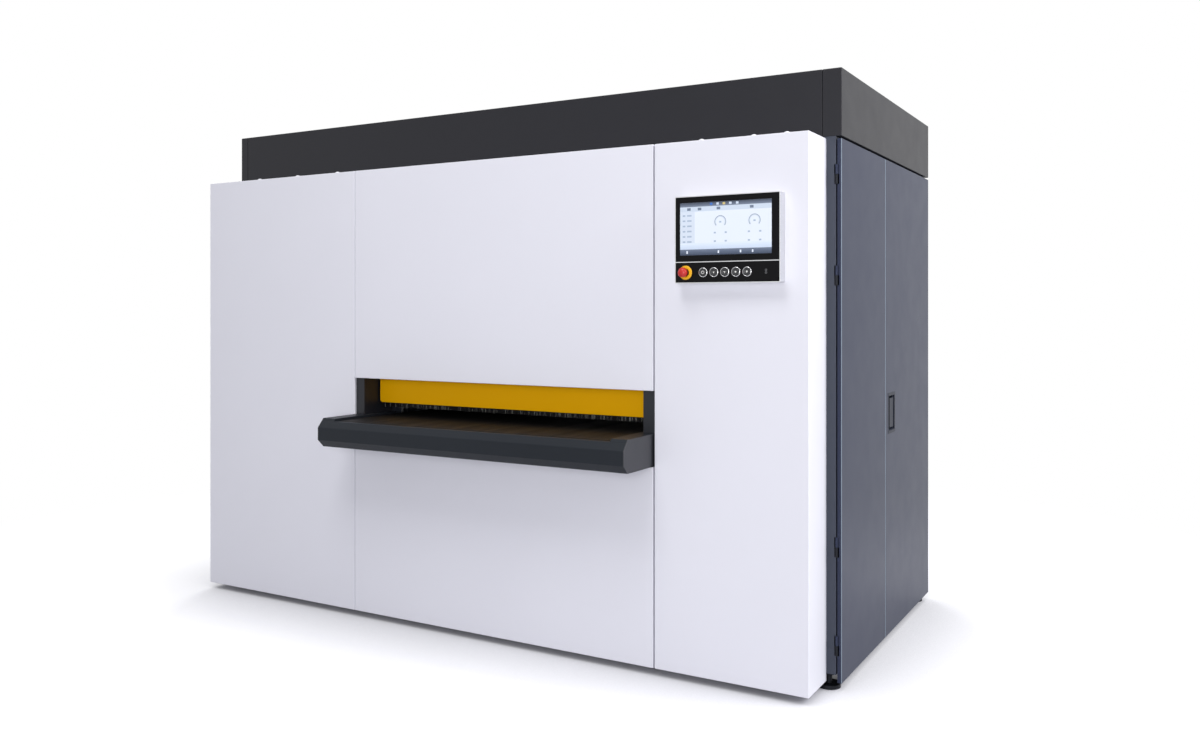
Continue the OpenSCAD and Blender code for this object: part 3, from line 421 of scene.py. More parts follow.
def bend_highlight_mask(tree, beyond):
    """Where a painted highlight goes: a socket that is 1 in the middle of an upright bend and 0 on flat
    faces, four times the squared product of the normal's parts along x and y, and only where x is beyond
    the given place."""
    surface = added(tree, "TexCoord").outputs
    normal = added(tree, "SeparateXYZ", {"Vector": surface["Normal"]}).outputs
    place = added(tree, "SeparateXYZ", {"Vector": surface["Object"]}).outputs
    both = maths(tree, "MULTIPLY", normal["X"], normal["Y"])
    bend = maths(tree, "MULTIPLY", maths(tree, "MULTIPLY", both, both), 4.0)
    return maths(tree, "MULTIPLY", bend, maths(tree, "GREATER_THAN", place["X"], beyond))


body_coat = powder_coat("body_powder_coat", (48, 53, 71), 4, 0.30, shine=0.07, peel=0.00002)
leaf_skin_x = 1.632      # the doors' outer bends lie beyond it, their hinges before it
# Painted highlight: a pale blue grey is mixed into the coat along the doors' upright outer bends, where
# their rounded edges catch the light.
add_painted_highlight(body_coat, bend_highlight_mask(body_coat.node_tree, leaf_skin_x), (140, 152, 164))
softened("posts_and_ring", "frame_posts", 1.5, post_coat)
softened("base_beams", "base_frame", 1.5, post_coat)

leaf_t, knuckle_r, pin_r, leaf_gap = 17 * MM, 5 * MM, 2.5 * MM, 4 * MM
hinge_h, knuckle_h, hinge_lug, notch_l = 75 * MM, 37.25 * MM, 11.5 * MM, 7 * MM
hinge_shares = np.array([0.050, 0.231, 0.730, 0.916])
front_box, rear_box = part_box("side_door_front"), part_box("side_door_rear")
leaf_low = front_box[0][2]
hinge_zs = leaf_low + hinge_shares * (front_box[1][2] - leaf_low)
notch_spans = np.column_stack([hinge_zs, hinge_zs + hinge_h])


def lathe(base, axis, profile, steps, closed=False, lobes=0, lobe_depth=0):
    """A profile of (radius, height) pairs turned about an axis through base: each point is base plus
    height times the axis, plus radius times the direction at its angle. The profile starts at the end
    that the axis points to. Lobes shrink the radius by a cosine of so many turns."""
    base, axis = np.array(base, dtype=float), np.array(axis, dtype=float)
    side = np.cross(axis, [0.3, 0.5, 0.8])
    side /= np.linalg.norm(side)
    other = np.cross(axis, side)
    turn = np.arange(steps) / steps * 2 * math.pi
    profile = np.array(profile, dtype=float)
    radius = profile[:, :1]
    if lobes:
        radius = radius - lobe_depth * radius / radius.max() * (0.5 + 0.5 * np.cos(lobes * turn))
    ring = np.cos(turn)[:, None] * side + np.sin(turn)[:, None] * other
    points = base + profile[:, None, 1:] * axis + radius[:, :, None] * ring[None]
    return points.reshape(-1, 3), ring_faces(len(profile), steps, closed)


def block(low, high):
    """A box between two corners: eight points and six faces."""
    corner = np.array(np.meshgrid([0, 1], [0, 1], [0, 1], indexing="ij")).reshape(3, -1).T
    points = np.array(low) + corner * (np.array(high) - np.array(low))
    return points, [[0, 1, 3, 2], [4, 6, 7, 5], [0, 4, 5, 1], [2, 3, 7, 6], [0, 2, 6, 4], [1, 5, 7, 3]]


def hinge_halves(corner, inward):
    """The door's half of each hinge: a knuckle bored for the pin, and its lug. corner is the leaf's
    hinge edge at its outer face, and inward the direction along y from there into the leaf."""
    axis_x = corner[0] - leaf_t - 2.5 * MM
    bore_r, ease, lug_ease = pin_r + 0.1 * MM, 0.5 * MM, 0.2 * MM
    tube = [(bore_r, knuckle_h), (knuckle_r - ease, knuckle_h), (knuckle_r, knuckle_h - ease),
            (knuckle_r, ease), (knuckle_r - ease, 0), (bore_r, 0)]
    lug_start = 0.6 * knuckle_r
    ends = sorted([corner[1] + lug_start * inward, corner[1] + knuckle_r * inward])
    shells = []
    for z in hinge_zs + hinge_h - knuckle_h:
        shells.append(lathe((axis_x, corner[1], z), (0, 0, 1), tube, 24, closed=True))
        shells.append(block((axis_x + lug_start, ends[0], z + lug_ease),
                            (axis_x + hinge_lug, ends[1], z + knuckle_h - lug_ease)))
    return shells


front_leaf = (np.array([front_box[1][0] - leaf_t, front_box[0][1] + knuckle_r, leaf_low]),
              np.array(front_box[1]))
rear_leaf = (np.array([rear_box[1][0] - leaf_t, rear_box[0][1], leaf_low]),
             np.array([rear_box[1][0], rear_box[1][1] - knuckle_r, rear_box[1][2]]))
dish_low, dish_high = (np.array(c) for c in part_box("handle_dish"))
dish_rim = 8 * MM
dish_hole = ((rear_leaf[1][0], dish_low[1] + dish_rim, dish_low[2] + dish_rim),
             (rear_leaf[1][0], dish_high[1] - dish_rim, dish_high[2] - dish_rim))
leaf = {"bend": 3.5 * MM, "wall": 1.6 * MM}
front_skin = tray_shell(*front_leaf, "+x", notches=(-1, leaf_t - notch_l, notch_spans), **leaf)
rear_skin = tray_shell(*rear_leaf, "+x", hole=dish_hole, notches=(1, leaf_t - notch_l, notch_spans), **leaf)
build("door_leaf_front", *joined([front_skin, *hinge_halves((front_leaf[1][0], front_leaf[0][1]), 1)]),
      "side_door_front", body_coat)
build("door_leaf_rear", *joined([rear_skin, *hinge_halves((rear_leaf[1][0], rear_leaf[1][1]), -1)]),
      "side_door_rear", body_coat)

side_low, side_high = (np.array(c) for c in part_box("left_side_panels"))
seam = front_leaf[1][1]      # the left side's trays meet where the doors do
panels = [tray_shell(side_low, (side_high[0], seam, side_high[2]), "-x", **leaf),
          tray_shell((side_low[0], seam + leaf_gap, side_low[2]), side_high, "-x", **leaf)]
build("side_trays_left", *joined(panels), "left_side_panels", body_coat)

rear_low, rear_high = (np.array(c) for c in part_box("rear_panels"))
left_edge, right_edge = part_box("front_panel_left")[1][0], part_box("front_panel_right")[0][0]
bay_low, bay_high = (np.array(c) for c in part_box("front_panel_lower"))
opening_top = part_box("front_panel_upper")[0][2]
# left, lower, right and upper edge of each rear tray
edges = [(rear_low[0], rear_low[2], left_edge, rear_high[2]),
         (bay_low[0], opening_top, bay_high[0], rear_high[2]),
         (bay_low[0], rear_low[2], bay_high[0], bay_high[2]),
         (right_edge, rear_low[2], rear_high[0], rear_high[2])]
panels = [tray_shell((x0, rear_low[1], z0), (x1, rear_high[1], z1), "+y", **leaf)
          for x0, z0, x1, z1 in edges]
build("rear_trays", *joined(panels), "rear_panels", body_coat)


def bare_metal(name, colour, roughness, lines=(1, 1, 1), grain=60, depth=0.00002, metallic=1.0):
    """Metal with machining lines: noise stretched by the three factors of lines gives its tone, its
    gloss and a shallow relief."""
    material, tree, shader = shader_nodes(name)
    shader.inputs["Metallic"].default_value = metallic
    noise = texture(tree, "Noise", grain, lines, Detail=4.0).outputs["Fac"]
    two_tone(tree, shader, noise, linear(colour, 0.86), linear(colour))
    uneven_gloss(tree, shader, noise, roughness - 0.08, roughness + 0.08)
    relief(tree, shader, noise, depth, 0.5)
    return material


# Hinges and feet. Turned pins, welded knuckles and levelling feet, all in black oxide.
black_oxide = bare_metal("black_oxide", (30, 32, 38), 0.5, grain=150, metallic=0.7)
zinc = bare_metal("zinc_plate", (176, 180, 184), 0.38, grain=90)
softened("hinge_knuckles_and_pins", "hinge_pins", 0.4, black_oxide)
softened("feet_and_studs", "levelling_feet", 1, black_oxide)


def moulded(name, colour, roughness, shine=0.5, grain=700, depth=0.00003, coat=0.0):
    """Moulded plastic: an even tone with faint clouds, and the fine grain of its mould."""
    material, tree, shader = shader_nodes(name)
    clouds = texture(tree, "Noise", 14, Detail=3.0)
    two_tone(tree, shader, clouds.outputs["Fac"], linear(colour), linear(colour, shift=6))
    skin = texture(tree, "Voronoi", grain).outputs["Distance"]
    uneven_gloss(tree, shader, skin, roughness - 0.04, roughness + 0.08)
    shader.inputs["Specular IOR Level"].default_value = shine
    shader.inputs["Coat Weight"].default_value = coat
    relief(tree, shader, skin, depth, 0.4)
    return material


# Handle of the rear door. Moulded black plastic: a dish with sloping ends sunk into the leaf, and
# the flat paddle that turns in it on a steel pin and draws the latch tongue.
handle_plastic = moulded("handle_plastic", (32, 36, 48), 0.38, shine=0.1)
softened("handle_bowl", "handle_dish", 1.2, handle_plastic)
softened("handle_flap", "handle_paddle", 1.2, handle_plastic)
softened("latch_bolt", "latch_tongue", 1.5, zinc)


def rounded(corners, radius):
    """An open path through corners, each inner corner replaced by an arc of the radius between the
    points where it leaves the two sides."""
    steps = 6
    corners = np.array(corners, dtype=float)
    path = [corners[:1]]
    for before, corner, after in zip(corners[:-2], corners[1:-1], corners[2:]):
        one, two = before - corner, after - corner
        one, two = one / np.linalg.norm(one), two / np.linalg.norm(two)
        half = math.acos(np.clip(one @ two, -1, 1)) / 2
        middle = corner + (one + two) / np.linalg.norm(one + two) * radius / math.sin(half)
        start, end = corner + one * radius / math.tan(half), corner + two * radius / math.tan(half)
        share = np.linspace(0, 1, steps + 1)[:, None]
        arc = (start - middle) * (1 - share) + (end - middle) * share
        path.append(middle + radius * arc / np.linalg.norm(arc, axis=1, keepdims=True))
    return np.concatenate([*path, corners[-1:]])


def folded(path, wall):
    """Closed outline of a sheet: the path, and back along the same path moved to its right by the
    wall, each point along the mean of its two sides' normals."""
    along = np.diff(path, axis=0)
    normal = np.column_stack([along[:, 1], -along[:, 0]])
    normal /= np.linalg.norm(normal, axis=1, keepdims=True)
    mean = np.concatenate([normal[:1], normal[:-1] + normal[1:], normal[-1:]])
    mean /= (mean * np.concatenate([normal[:1], normal])).sum(1, keepdims=True)
    return np.concatenate([path, (path + wall * mean)[::-1]])


def along_x(profile, x0, x1):
    """A closed outline in the plane of y and z carried from x1 to x0, with both ends closed."""
    profile = np.asarray(profile)
    size = len(profile)
    points = np.concatenate([np.column_stack([np.full(size, x), profile]) for x in (x1, x0)])
    return points, ring_faces(2, size)


# Tables. Each housing is one folded sheet with a faceted nose, closed by welded end plates, with a
# flat block beside the belt on each side, in a smooth dark grey coat.
table_coat = powder_coat("table_powder_coat", (30, 34, 40), 4, 0.42, shine=0.15)
table_wall, nose_bend, nose_d, nose_top, nose_low = 3 * MM, 5 * MM, 34 * MM, 40 * MM, 33 * MM
rim_drop, rim_lip, plate_bend = 11 * MM, 11 * MM, 7 * MM
recess_x = (-556 * MM, 870 * MM)


def housing(node, direction):
    """The shells of one table: the folded sheet with its rim before the belt, a block on each side
    that carries on the nose's slope to the top, and an end plate on each end."""
    low, high = (np.array(c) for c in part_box(node))
    nose, back = (low[1], high[1]) if direction < 0 else (high[1], low[1])
    under, top = low[2], high[2]
    rim = top - rim_drop
    slope = (nose_top - rim_drop) / nose_top * nose_d
    bevel_low, bevel_high = (nose - direction * nose_d, under), (nose - direction * nose_d, top)
    face = [(nose, under + nose_low), (nose, top - nose_top)]
    skin = [(back, under), bevel_low, *face, (nose - direction * slope, rim),
            (nose - direction * (slope + rim_lip), rim)]
    side = [(nose - direction * (slope + table_wall), rim - table_wall), (nose - direction * slope, rim),
            bevel_high, (back, top), (back, rim - table_wall)]
    end = rounded([(back, under), bevel_low, *face, bevel_high, (back, top)], plate_bend)
    sheet = folded(rounded(skin, nose_bend), -direction * table_wall)
    inner = (low[0] + table_wall, high[0] - table_wall)
    body = [along_x(sheet, *inner), along_x(side, inner[0], recess_x[0]),
            along_x(side, recess_x[1], inner[1])]
    return body, [along_x(end, low[0], inner[0]), along_x(end, inner[1], high[0])]


# The end plates have the same coat as the housing, painted a lighter tone: a painted reflection of the
# bright light they catch on their sides.
plate_coat_with_painted_light = powder_coat("end_plate_coat", (42, 43, 48), 4, 0.36, shine=0.4)
for name, direction in (("infeed", -1), ("outfeed", 1)):
    body, ends = housing(name + "_table", direction)
    build(name + "_housing", *joined(body), name + "_table", table_coat, edge=1 * MM)
    build(name + "_end_plates", *joined(ends), name + "_table", plate_coat_with_painted_light, hides=False, edge=1 * MM)


def band(node, r1, r2, thick):
    """A belt as a closed loop round two circles whose middles lie on the node's long axis: points at
    each circle's radius over the arc between the tangents, each with an outline of the belt's section
    with rounded edges."""
    steps = 28
    low, high = (np.array(c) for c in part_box(node))
    size = high - low
    upright = size[2] > size[1]
    one = np.array([(low[1] + high[1]) / 2 if upright else low[1] + r1, low[2] + r1])
    span = (size[2] if upright else size[1]) - r1 - r2
    tilt = math.asin((r1 - r2) / span)
    arc = np.linspace(0, 1, steps)
    lower = tilt - arc * (math.pi + 2 * tilt)
    upper = math.pi - tilt - arc * (math.pi - 2 * tilt)
    angle = np.concatenate([lower, upper])
    radius = np.concatenate([np.full(steps, r1), np.full(steps, r2)])
    middle = np.concatenate([np.zeros((steps, 2)), np.tile([0, span], (steps, 1))])
    normal = np.column_stack([np.cos(angle), np.sin(angle)])
    if not upright:
        normal, middle = normal[:, ::-1], middle[:, ::-1]
    section = outline(size[0], thick, 0.2 * thick, 3)
    depth = radius[:, None] + section[None, :, 1] - thick / 2
    plane = one + middle[:, None] + normal[:, None] * depth[..., None]
    across = np.broadcast_to((low[0] + high[0]) / 2 + section[None, :, :1], (len(angle), len(section), 1))
    points = np.concatenate([across, plane], -1).reshape(-1, 3)
    return points, ring_faces(len(angle), len(section), closed=True)


def worn_rubber(name, colour, streaks, roughness):
    """Rubber belt: fine crumb, and streaks of polish and dust drawn out along the feed."""
    material, tree, shader = shader_nodes(name)
    drawn = texture(tree, "Noise", 1.0, streaks, Detail=6.0)
    ramp = spread(tree, drawn.outputs["Fac"], -0.6, 1.6)
    two_tone(tree, shader, ramp, linear(colour, 0.72), linear(colour, 1.25))
    uneven_gloss(tree, shader, ramp, roughness + 0.1, roughness - 0.1)
    shader.inputs["Specular IOR Level"].default_value = 0.15
    crumb = texture(tree, "Voronoi", 650)
    relief(tree, shader, crumb.outputs["Distance"], 0.00025, 0.5)
    return material


# Conveyor. A black rubber-faced belt, worn in streaks along the feed, runs over a slider bed and
# round two steel rollers between side rails of plate.
belt_rubber = worn_rubber("belt_rubber", (18, 16, 15), (14, 1.0, 8), 0.6)
belt_t, belt_r = 8 * MM, 53.3 * MM
build("feed_belt", *band("conveyor_belt", belt_r, belt_r, belt_t), "conveyor_belt", belt_rubber, smooth=50)
machine_paint = powder_coat("machine_grey_paint", (104, 107, 112), 6, 0.45)
turned_steel = bare_metal("turned_steel", (178, 180, 182), 0.28, lines=(30, 1, 1), grain=40)
softened("rails_and_bed", "conveyor_frame", 1, machine_paint)
softened("idler", "idler_roller", 1, turned_steel)
softened("driven_shell", "drive_roller", 1, turned_steel)
motor_paint = powder_coat("motor_blue_paint", (44, 84, 128), 8, 0.40)
softened("inner_motor", "drum_motor", 1, turned_steel)


# Opening. Folded jambs in dark grey beside it, and the yellow guard on the lifting head, folded
# back at its top and hemmed along its lower edge.
jamb_coat = powder_coat("jamb_powder_coat", (30, 32, 38), 4, 0.38, shine=0.3)
softened("jamb_trays", "opening_jambs", 1.5, jamb_coat)
guard_coat = powder_coat("guard_yellow_coat", (255, 188, 0), 0, 0.45, shine=0.1)
guard_low, guard_high = (np.array(c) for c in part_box("infeed_guard"))
guard_wall, guard_bend, guard_hem, hem_r, guard_corner = 3 * MM, 4 * MM, 12 * MM, 3.5 * MM, 10 * MM


def guard_shell():
    """The guard's folded sheet carried along x. Near each end its lower edge rises along a quarter
    circle: the height of a point is raised in proportion to how low it lies on the sheet."""
    (_, front, bottom), (_, back, top) = guard_low, guard_high
    path = rounded([(back, top), (front, top), (front, bottom)], guard_bend)
    turn = np.radians(np.linspace(0, 180, 9))[1:]
    fold = np.column_stack([front + hem_r - hem_r * np.cos(turn), bottom + hem_r - hem_r * np.sin(turn)])
    path[-1, 1] = bottom + hem_r
    path = np.concatenate([path, fold, [[front + 2 * hem_r, bottom + guard_hem]]])
    sheet = folded(path, -guard_wall)
    step = guard_corner * (1 - np.cos(np.radians(np.linspace(0, 90, 10))))
    xs = np.concatenate([guard_high[0] - step, guard_low[0] + step[::-1]])
    from_end = np.minimum(xs - guard_low[0], guard_high[0] - xs).clip(0, guard_corner)
    lift = guard_corner - np.sqrt(guard_corner ** 2 - (guard_corner - from_end) ** 2)
    near = np.clip(1 - (sheet[:, 1] - bottom) / (4 * guard_corner), 0, 1)
    z = sheet[:, 1] + lift[:, None] * near
    x, y = np.broadcast_to(xs[:, None], z.shape), np.broadcast_to(sheet[:, 0], z.shape)
    return np.stack([x, y, z], -1).reshape(-1, 3), ring_faces(*z.shape)


build("guard_sheet", *guard_shell(), "infeed_guard", guard_coat)


# Brush strip. Black nylon bristles in three staggered rows, crimped in a folded holder behind the
# guard's hem, each a little out of line.
bristle_black = moulded("bristle_nylon", (12, 12, 13), 0.34, shine=0.2, grain=300)
tree = bristle_black.node_tree
# Painted highlight: a few bristles picked at random are coloured pale grey to stand in for the glints along
# the strip.
strand = added(tree, "NewGeometry").outputs["Random Per Island"]
add_painted_highlight(bristle_black, maths(tree, "GREATER_THAN", strand, 0.93), (196, 196, 190))
strip_low, strip_high = (np.array(c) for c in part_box("brush_curtain"))
bristle_n, bristle_w, bristle_rows, holder_h = 1800, 1.2 * MM, 3, 10 * MM
bristle_inset, row_gap, tip_lean, tip_rise = 2 * MM, 2.6 * MM, (0.9 * MM, 0.5 * MM, 0), 3.5 * MM
draw = np.random.default_rng(7)


def bristles():
    """Tapered square prisms from inside the holder to the strip's lower edge. Their places run evenly
    along x over three rows, and each tip is moved a little along x and y and varies in height."""
    place = np.arange(bristle_n)
    length = strip_high[0] - strip_low[0] - 2 * bristle_inset
    x = strip_low[0] + bristle_inset + place / (bristle_n - 1) * length
    y = strip_low[1] + bristle_inset + (place % bristle_rows) * row_gap
    root = np.column_stack([x, y, np.full(bristle_n, strip_high[2] - 0.7 * holder_h)])
    tip = root + draw.normal(0, 1, (bristle_n, 3)) * tip_lean
    tip[:, 2] = strip_low[2] + draw.uniform(0, tip_rise, bristle_n)
    corner = np.array([[-1, -1, 0], [1, -1, 0], [1, 1, 0], [-1, 1, 0]]) * bristle_w / 2
    points = np.stack([root[:, None] + corner, tip[:, None] + 0.7 * corner], 1)
    first = np.arange(bristle_n)[:, None] * 8
    quads = np.array([[0, 4, 5, 1], [1, 5, 6, 2], [2, 6, 7, 3], [3, 7, 4, 0], [0, 1, 2, 3], [7, 6, 5, 4]])
    faces = (first[:, :, None] + quads[None]).reshape(-1, 4).tolist()
    return points.reshape(-1, 3), faces


holder_box = outline(strip_high[1] - strip_low[1], holder_h, 1.5 * MM, 4)
holder = along_x(holder_box + [(strip_low[1] + strip_high[1]) / 2, strip_high[2] - holder_h / 2],
                 strip_low[0], strip_high[0])
build("bristle_strip", *joined([holder, bristles()]), "brush_curtain", bristle_black, smooth=60)


# Operator panel. A black housing in a silver aluminium frame carries the screen above a strip with
# the emergency stop and five pushbuttons. A silver joint divides the two.
panel_black = moulded("panel_black", (4, 4, 6), 0.30, shine=0.12, grain=1200, depth=0.00001)
panel_low, panel_high = (np.array(c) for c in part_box("hmi_housing"))
screen_low, screen_high = (np.array(c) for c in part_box("hmi_screen"))
screen_gap, frame_w, frame_ease, split_h = 0.5 * MM, 3.5 * MM, 0.4 * MM, 3 * MM
glass_hole = (screen_low - screen_gap, screen_high + screen_gap)
shell = tray_shell(panel_low + [frame_w, 0, frame_w], panel_high - [frame_w, 0, frame_w], "-y",
                   bend=1.5 * MM, wall=1.2 * MM, hole=glass_hole)
build("panel_shell", *shell, "hmi_housing", panel_black)
silver = bare_metal("satin_aluminium", (230, 231, 234), 0.32, lines=(1, 1, 40), grain=30)
width, height = (panel_high - panel_low)[[0, 2]]
middle = (panel_low + panel_high)[[0, 2]] / 2


def frame_ring(inset, y):
    """One ring of the frame: a round-cornered rectangle set in by the inset, at the depth y."""
    flat = outline(width - 2 * inset, height - 2 * inset, 5 * MM - inset, 5)
    return np.column_stack([flat[:, 0] + middle[0], np.full(len(flat), y), flat[:, 1] + middle[1]])


front, back = panel_low[1], panel_high[1]
rings = [frame_ring(inset, y) for inset, y in
         [(frame_ease, front), (0, front + frame_ease), (0, back), (frame_w, back),
          (frame_w, front + frame_ease), (frame_w - frame_ease, front)]]
split_z = screen_low[2] - 26 * MM
split = block((panel_low[0] + frame_w, front - 0.6 * MM, split_z - split_h / 2),
              (panel_high[0] - frame_w, front + 1 * MM, split_z + split_h / 2))
build("panel_frame", *joined([(np.concatenate(rings), ring_faces(len(rings), len(rings[0]), True)), split]),
      "hmi_housing", silver, hides=False, smooth=30)

# Screen. A glass plate over a lit display: a dark bar with generic symbols above and below, a pale
# column of entries at the left, and two gauges with their value boxes.
display, tree, shader = shader_nodes("lit_display")
shade = added(tree, "Attribute", attribute_name="shade")
for name in ("Base Color", "Emission Color"):
    tree.links.new(shade.outputs["Color"], shader.inputs[name])
shader.inputs["Emission Strength"].default_value = 0.06
uneven_gloss(tree, shader, texture(tree, "Noise", 8, Detail=2.0).outputs["Fac"], 0.16, 0.26)
screen_w, screen_h = screen_high[0] - screen_low[0], screen_high[2] - screen_low[2]
PAGE, PALE, COLUMN, MID = (228, 236, 248), (204, 216, 232), (214, 224, 238), (170, 186, 208)
INK, BLUE, AMBER = (112, 126, 148), (60, 110, 190), (210, 190, 120)
GAUGE_X, gauge_z = (0.45, 0.82), 0.62


def stripes(low, step, colour, change):
    """Four stripes over the screen's width, each one's colour changed from the one below."""
    return [(0, low + k * step, 1, low + (k + 1) * step, [c + k * d for c, d in zip(colour, change)])
            for k in range(4)]


def row(middles, half, low, high, tone):
    """Rectangles of one half width and one shade about their middles."""
    return [(x - half, low, x + half, high, tone) for x in middles]


# left, lower, right and upper edge as shares of the screen, and the shade
screen_shares = [
    (0, 0, 1, 1, PAGE), (0, 0.83, 1, 0.92, PALE), (0, 0.11, 0.165, 0.83, COLUMN),
    *stripes(0.92, 0.02, (112, 124, 144), (-14, -15, -16)),
    *stripes(0, 0.0275, (62, 74, 96), (14, 14, 14)),
    *row([0.35], 0.014, 0.938, 0.982, BLUE), *row([0.42], 0.014, 0.938, 0.982, PALE),
    *row([0.49], 0.014, 0.938, 0.982, AMBER), *row([0.56, 0.635], 0.014, 0.938, 0.982, PALE),
    *row([0.10, 0.22, 0.43, 0.79], 0.02, 0.85, 0.90, INK),
    *row([0.08, 0.43, 0.67, 0.80], 0.008, 0.03, 0.08, PAGE),
    *[(x, z, x + w, z + 0.03, MID) for z in (0.74, 0.64, 0.54, 0.44, 0.34, 0.24, 0.16)
      for x, w in ((0.03, 0.03), (0.08, 0.05))],
    *[(x + dx - 0.012, z, x + dx + 0.012, z + 0.03, MID) for x in GAUGE_X for dx in (-0.06, 0.06)
      for z in (0.24, 0.40)],
    *row(GAUGE_X, 0.10, 0.20, 0.206, MID), *row(GAUGE_X, 0.012, 0.60, 0.63, MID),
    *stripes(0.11, 0.03, (204, 218, 238), (6, 5, 3)),
]
page_gap, layer_gap, gauge_gap, arc_points = 0.05 * MM, 0.004 * MM, 0.16 * MM, 25
# radius and width of each gauge's arcs as shares of the screen's height, how far the arc stands
# before the last one, and the shade
gauge_arcs = [(0.115, 0.026, 0, (206, 217, 232)), (0.118, 0.012, 0.02 * MM, (140, 154, 176))]


def display_shapes():
    """Flat shapes just before the glass, each a little before the last: rectangles from the shares,
    and the gauges' arcs between two radii."""
    points, faces, shades = [], [], []
    for i, (x0, z0, x1, z1, tone) in enumerate(screen_shares):
        y = screen_low[1] - page_gap - i * layer_gap
        corner = np.array([[x0, z0], [x1, z0], [x1, z1], [x0, z1]]) * [screen_w, screen_h]
        x, z = screen_low[0] + corner[:, 0], screen_low[2] + corner[:, 1]
        points.append(np.column_stack([x, np.full(4, y), z]))
        faces.append(list(range(4 * i, 4 * i + 4)))
        shades.append(tone)
    first = 4 * len(screen_shares)
    turn = np.radians(np.linspace(-40, 220, arc_points))
    ring = np.column_stack([np.cos(turn), np.sin(turn)])
    step = np.arange(arc_points - 1)[:, None]
    for x in GAUGE_X:
        centre = np.array([screen_low[0] + x * screen_w, screen_low[2] + gauge_z * screen_h])
        for radius, thick, before, tone in gauge_arcs:
            edges = centre + np.concatenate([ring * r * screen_h for r in (radius, radius - thick)])
            y = np.full(len(edges), screen_low[1] - gauge_gap - before)
            points.append(np.column_stack([edges[:, 0], y, edges[:, 1]]))
            quads = first + np.hstack([step + arc_points, step + arc_points + 1, step + 1, step])
            faces += quads.tolist()
            shades += [tone] * len(quads)
            first += len(edges)
    return np.concatenate(points), faces, shades


points, faces, shades = display_shapes()
mesh = bpy.data.meshes.new("display_page")
mesh.from_pydata(points.tolist(), [], faces)
layer = mesh.attributes.new("shade", "FLOAT_COLOR", "FACE")
layer.data.foreach_set("color", np.array([linear(tone) for tone in shades]).ravel())
page = placed("display_page", mesh)
mesh.materials.append(display)
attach(page, body_of("hmi_screen"))
screen_glass = moulded("screen_glass", (16, 18, 22), 0.12, grain=1500, depth=0.000002, coat=0.5)
softened("glass_plate", "hmi_screen", 0.4, screen_glass)


# Pushbuttons. Turned and polished bezels with black caps, each with a raised pale mark: a ring, two
# triangles, a dot and a square. The emergency stop is a red mushroom on a yellow ring, and beside
# the buttons lie two small port rings. All profiles are in millimetres.
button_y = panel_low[1]
polished = bare_metal("polished_bezel", (206, 206, 208), 0.18, grain=120)
cap_black = moulded("cap_black", (34, 35, 38), 0.3)
mark_pale = moulded("mark_pale", (214, 214, 210), 0.4)
ring_boxes = [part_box("pushbutton_%d" % i) for i in range(1, 6)]
button_z = sum(ring_boxes[0][k][2] for k in (0, 1)) / 2


def turned(centre, profile, steps, **shape):
    """A profile in millimetres turned about the line that points out of the panel at the centre."""
    return lathe(centre, (0, -1, 0), MM * np.array(profile), steps, **shape)


ring_r, ring_t, tube_r, tube_d, well_r = 18.5, 3, 16, 28, 14
tube = [(tube_r, 0), (tube_r, -tube_d), (well_r, -tube_d)]
bezel = [(well_r, 0.6), (well_r + 1, ring_t - 0.6), (well_r + 2, ring_t), (ring_r - 1.5, ring_t - 0.2),
         (ring_r - 0.4, ring_t - 1), (ring_r, 1), (ring_r, 0), *tube]
centres = [((b[0][0] + b[1][0]) / 2, button_y, button_z) for b in ring_boxes]
build("bezels", *joined([turned(c, bezel, 48, closed=True) for c in centres]), "button_rings", polished)
cap_r, cap_out, cap_back, stem_r, stem_l = 13.7, 4.5, -13.5, 6, 16
cap = [(stem_r, cap_out - 1.2), (9, cap_out - 0.9), (11.5, cap_out - 0.1), (12.4, cap_out),
       (13.3, cap_out - 0.4), (cap_r, cap_out - 1.2), (cap_r, cap_back), (stem_r, cap_back),
       (stem_r, cap_back - stem_l)]
mark_t, mark_back = 0.5, cap_out - 1.2
# radius of each button's mark, radius of its hole, and its number of corners
marks = [(6, 4, 32), (4.6, 0, 3), (4.6, 0, 3), (3.6, 0, 32), (4.6, 0, 4)]
for i, (centre, (mark_r, hole_r, corners)) in enumerate(zip(centres, marks), 1):
    build("cap_%d" % i, *turned(centre, cap, 48), "pushbutton_%d" % i, cap_black)
    mark = [(mark_r, mark_t), (mark_r, 0)]
    if hole_r:
        mark = [(hole_r, mark_t), *mark, (hole_r, 0)]
    mark = turned((centre[0], centre[1] - mark_back * MM, centre[2]), mark, corners, closed=bool(hole_r))
    build("mark_%d" % i, *mark, "pushbutton_%d" % i, mark_pale, hides=False)

port_grey = moulded("port_grey", (104, 105, 108), 0.4)
port_x, port_gap, port_r, port_t, port_wall = panel_high[0] - 55 * MM, 4.8 * MM, 4, 0.6, 1.4
port = [(port_r, port_t), (port_r, -port_t), (port_r - port_wall, -port_t), (port_r - port_wall, port_t)]
ports = [turned((port_x, button_y, button_z + side * port_gap), port, 32, closed=True) for side in (-1, 1)]
build("port_rings", *joined(ports), "hmi_housing", port_grey, hides=False)

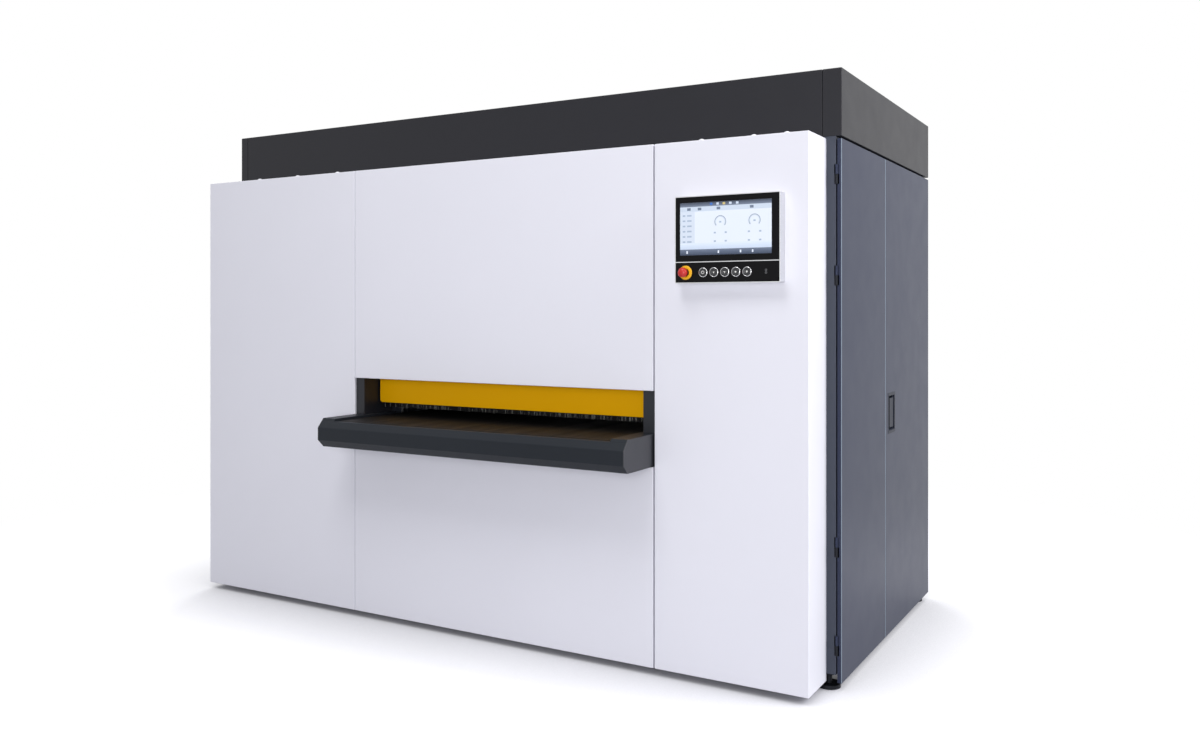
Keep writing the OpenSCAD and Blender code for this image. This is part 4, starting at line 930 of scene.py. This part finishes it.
estop_yellow = moulded("estop_yellow", (240, 178, 10), 0.35)
estop_red = moulded("estop_red", (186, 24, 20), 0.34)
stop_low, stop_high = (np.array(c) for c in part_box("estop_base"))
stop = ((stop_low[0] + stop_high[0]) / 2, button_y, button_z)
plate_r = (stop_high[0] - stop_low[0]) / 2 / MM
plate = [(well_r, 0.8), (well_r + 1.5, ring_t - 0.4), (well_r + 3, ring_t), (plate_r - 2, ring_t - 0.3),
         (plate_r - 0.5, ring_t - 1.2), (plate_r, 0.8), (plate_r, 0), *tube]
build("stop_ring", *turned(stop, plate, 56, closed=True), "estop_base", estop_yellow)
softened("stop_plunger", "estop_plunger", 0.5, cap_black)
head_r, head_out, neck_r = 19.5, 40, 11
mushroom = [(2, head_out), (8, head_out - 0.8), (13, head_out - 2.6), (17, head_out - 5.6),
            (19, head_out - 9), (head_r, head_out - 12), (head_r, head_out - 16),
            (head_r - 0.8, head_out - 18), (12.5, head_out - 18.6), (neck_r, head_out - 21),
            (neck_r, ring_t + 2.6)]
build("stop_mushroom", *turned(stop, mushroom, 72, lobes=3, lobe_depth=1.2 * MM), "estop_button", estop_red)


# Processing head. Plate and channel on turned columns, with the sanding unit, the brush unit and
# the pressure rollers between its side plates.
softened("carriage", "head_carriage", 1.5, machine_paint)
softened("columns", "lift_columns", 1, turned_steel)
softened("lift_gear", "lift_drive", 1.5, motor_paint)
softened("sander_motor", "sanding_motor", 2, motor_paint)
softened("motors_of_brushes", "brush_motors", 2, motor_paint)
cast_iron = bare_metal("cast_iron", (92, 92, 94), 0.55, grain=300, depth=0.0001, metallic=0.8)
softened("pulley_on_motor", "motor_pulley", 1.5, cast_iron)
softened("beam_of_brushes", "brush_beam", 1.5, machine_paint)
turned_aluminium = bare_metal("turned_aluminium", (196, 198, 200), 0.3, lines=(30, 1, 1), grain=40)
softened("upper_roller", "tension_roller", 1.5, turned_aluminium)
roller_rubber = moulded("roller_rubber", (40, 40, 42), 0.55, grain=500, depth=0.00005)
softened("drum", "contact_drum", 1.5, roller_rubber)
softened("press_front", "pressure_roller_front", 1.5, roller_rubber)
softened("press_rear", "pressure_roller_rear", 1.5, roller_rubber)


def abrasive(name, colour, grain, depth):
    """Bonded grit: cells of slightly different tone, dull, with a relief of single grains."""
    material, tree, shader = shader_nodes(name)
    cells = texture(tree, "Voronoi", grain).outputs["Distance"]
    two_tone(tree, shader, cells, linear(colour), linear(colour, 0.62))
    shader.inputs["Roughness"].default_value = 0.85
    relief(tree, shader, cells, depth, 0.8)
    return material


abrasive_cloth = abrasive("abrasive_cloth", (142, 78, 46), 900, 0.0004)
disc_abrasive = abrasive("disc_abrasive", (150, 84, 52), 260, 0.0015)
tension_r, drum_r, grit_t, run_gap = 60 * MM, 100 * MM, 2 * MM, 0.3 * MM
drive_t, drive_r, driven_r = 8 * MM, 70 * MM, 60 * MM
loops = (("abrasive", drum_r, tension_r, grit_t, abrasive_cloth),
         ("drive", drive_r, driven_r, drive_t, roller_rubber))
for name, r1, r2, thick, material in loops:
    build(name + "_loop", *band(name + "_belt", r1 + run_gap + thick, r2 + run_gap + thick, thick),
          name + "_belt", material, smooth=50)
for i in range(1, 5):
    softened("disc_%d" % i, "disc_brush_%d" % i, 1.5, disc_abrasive)


# Control cabinet. A closed box of light grey powder-coated sheet, with the rotary main switch that
# reaches out through the rear panel.
cabinet_paint = powder_coat("cabinet_paint", (186, 190, 196), 4, 0.45)
softened("cabinet", "control_cabinet", 2, cabinet_paint)
switch_red = moulded("switch_red", (190, 26, 24), 0.35)
softened("rotary_switch", "main_switch", 1, switch_red)
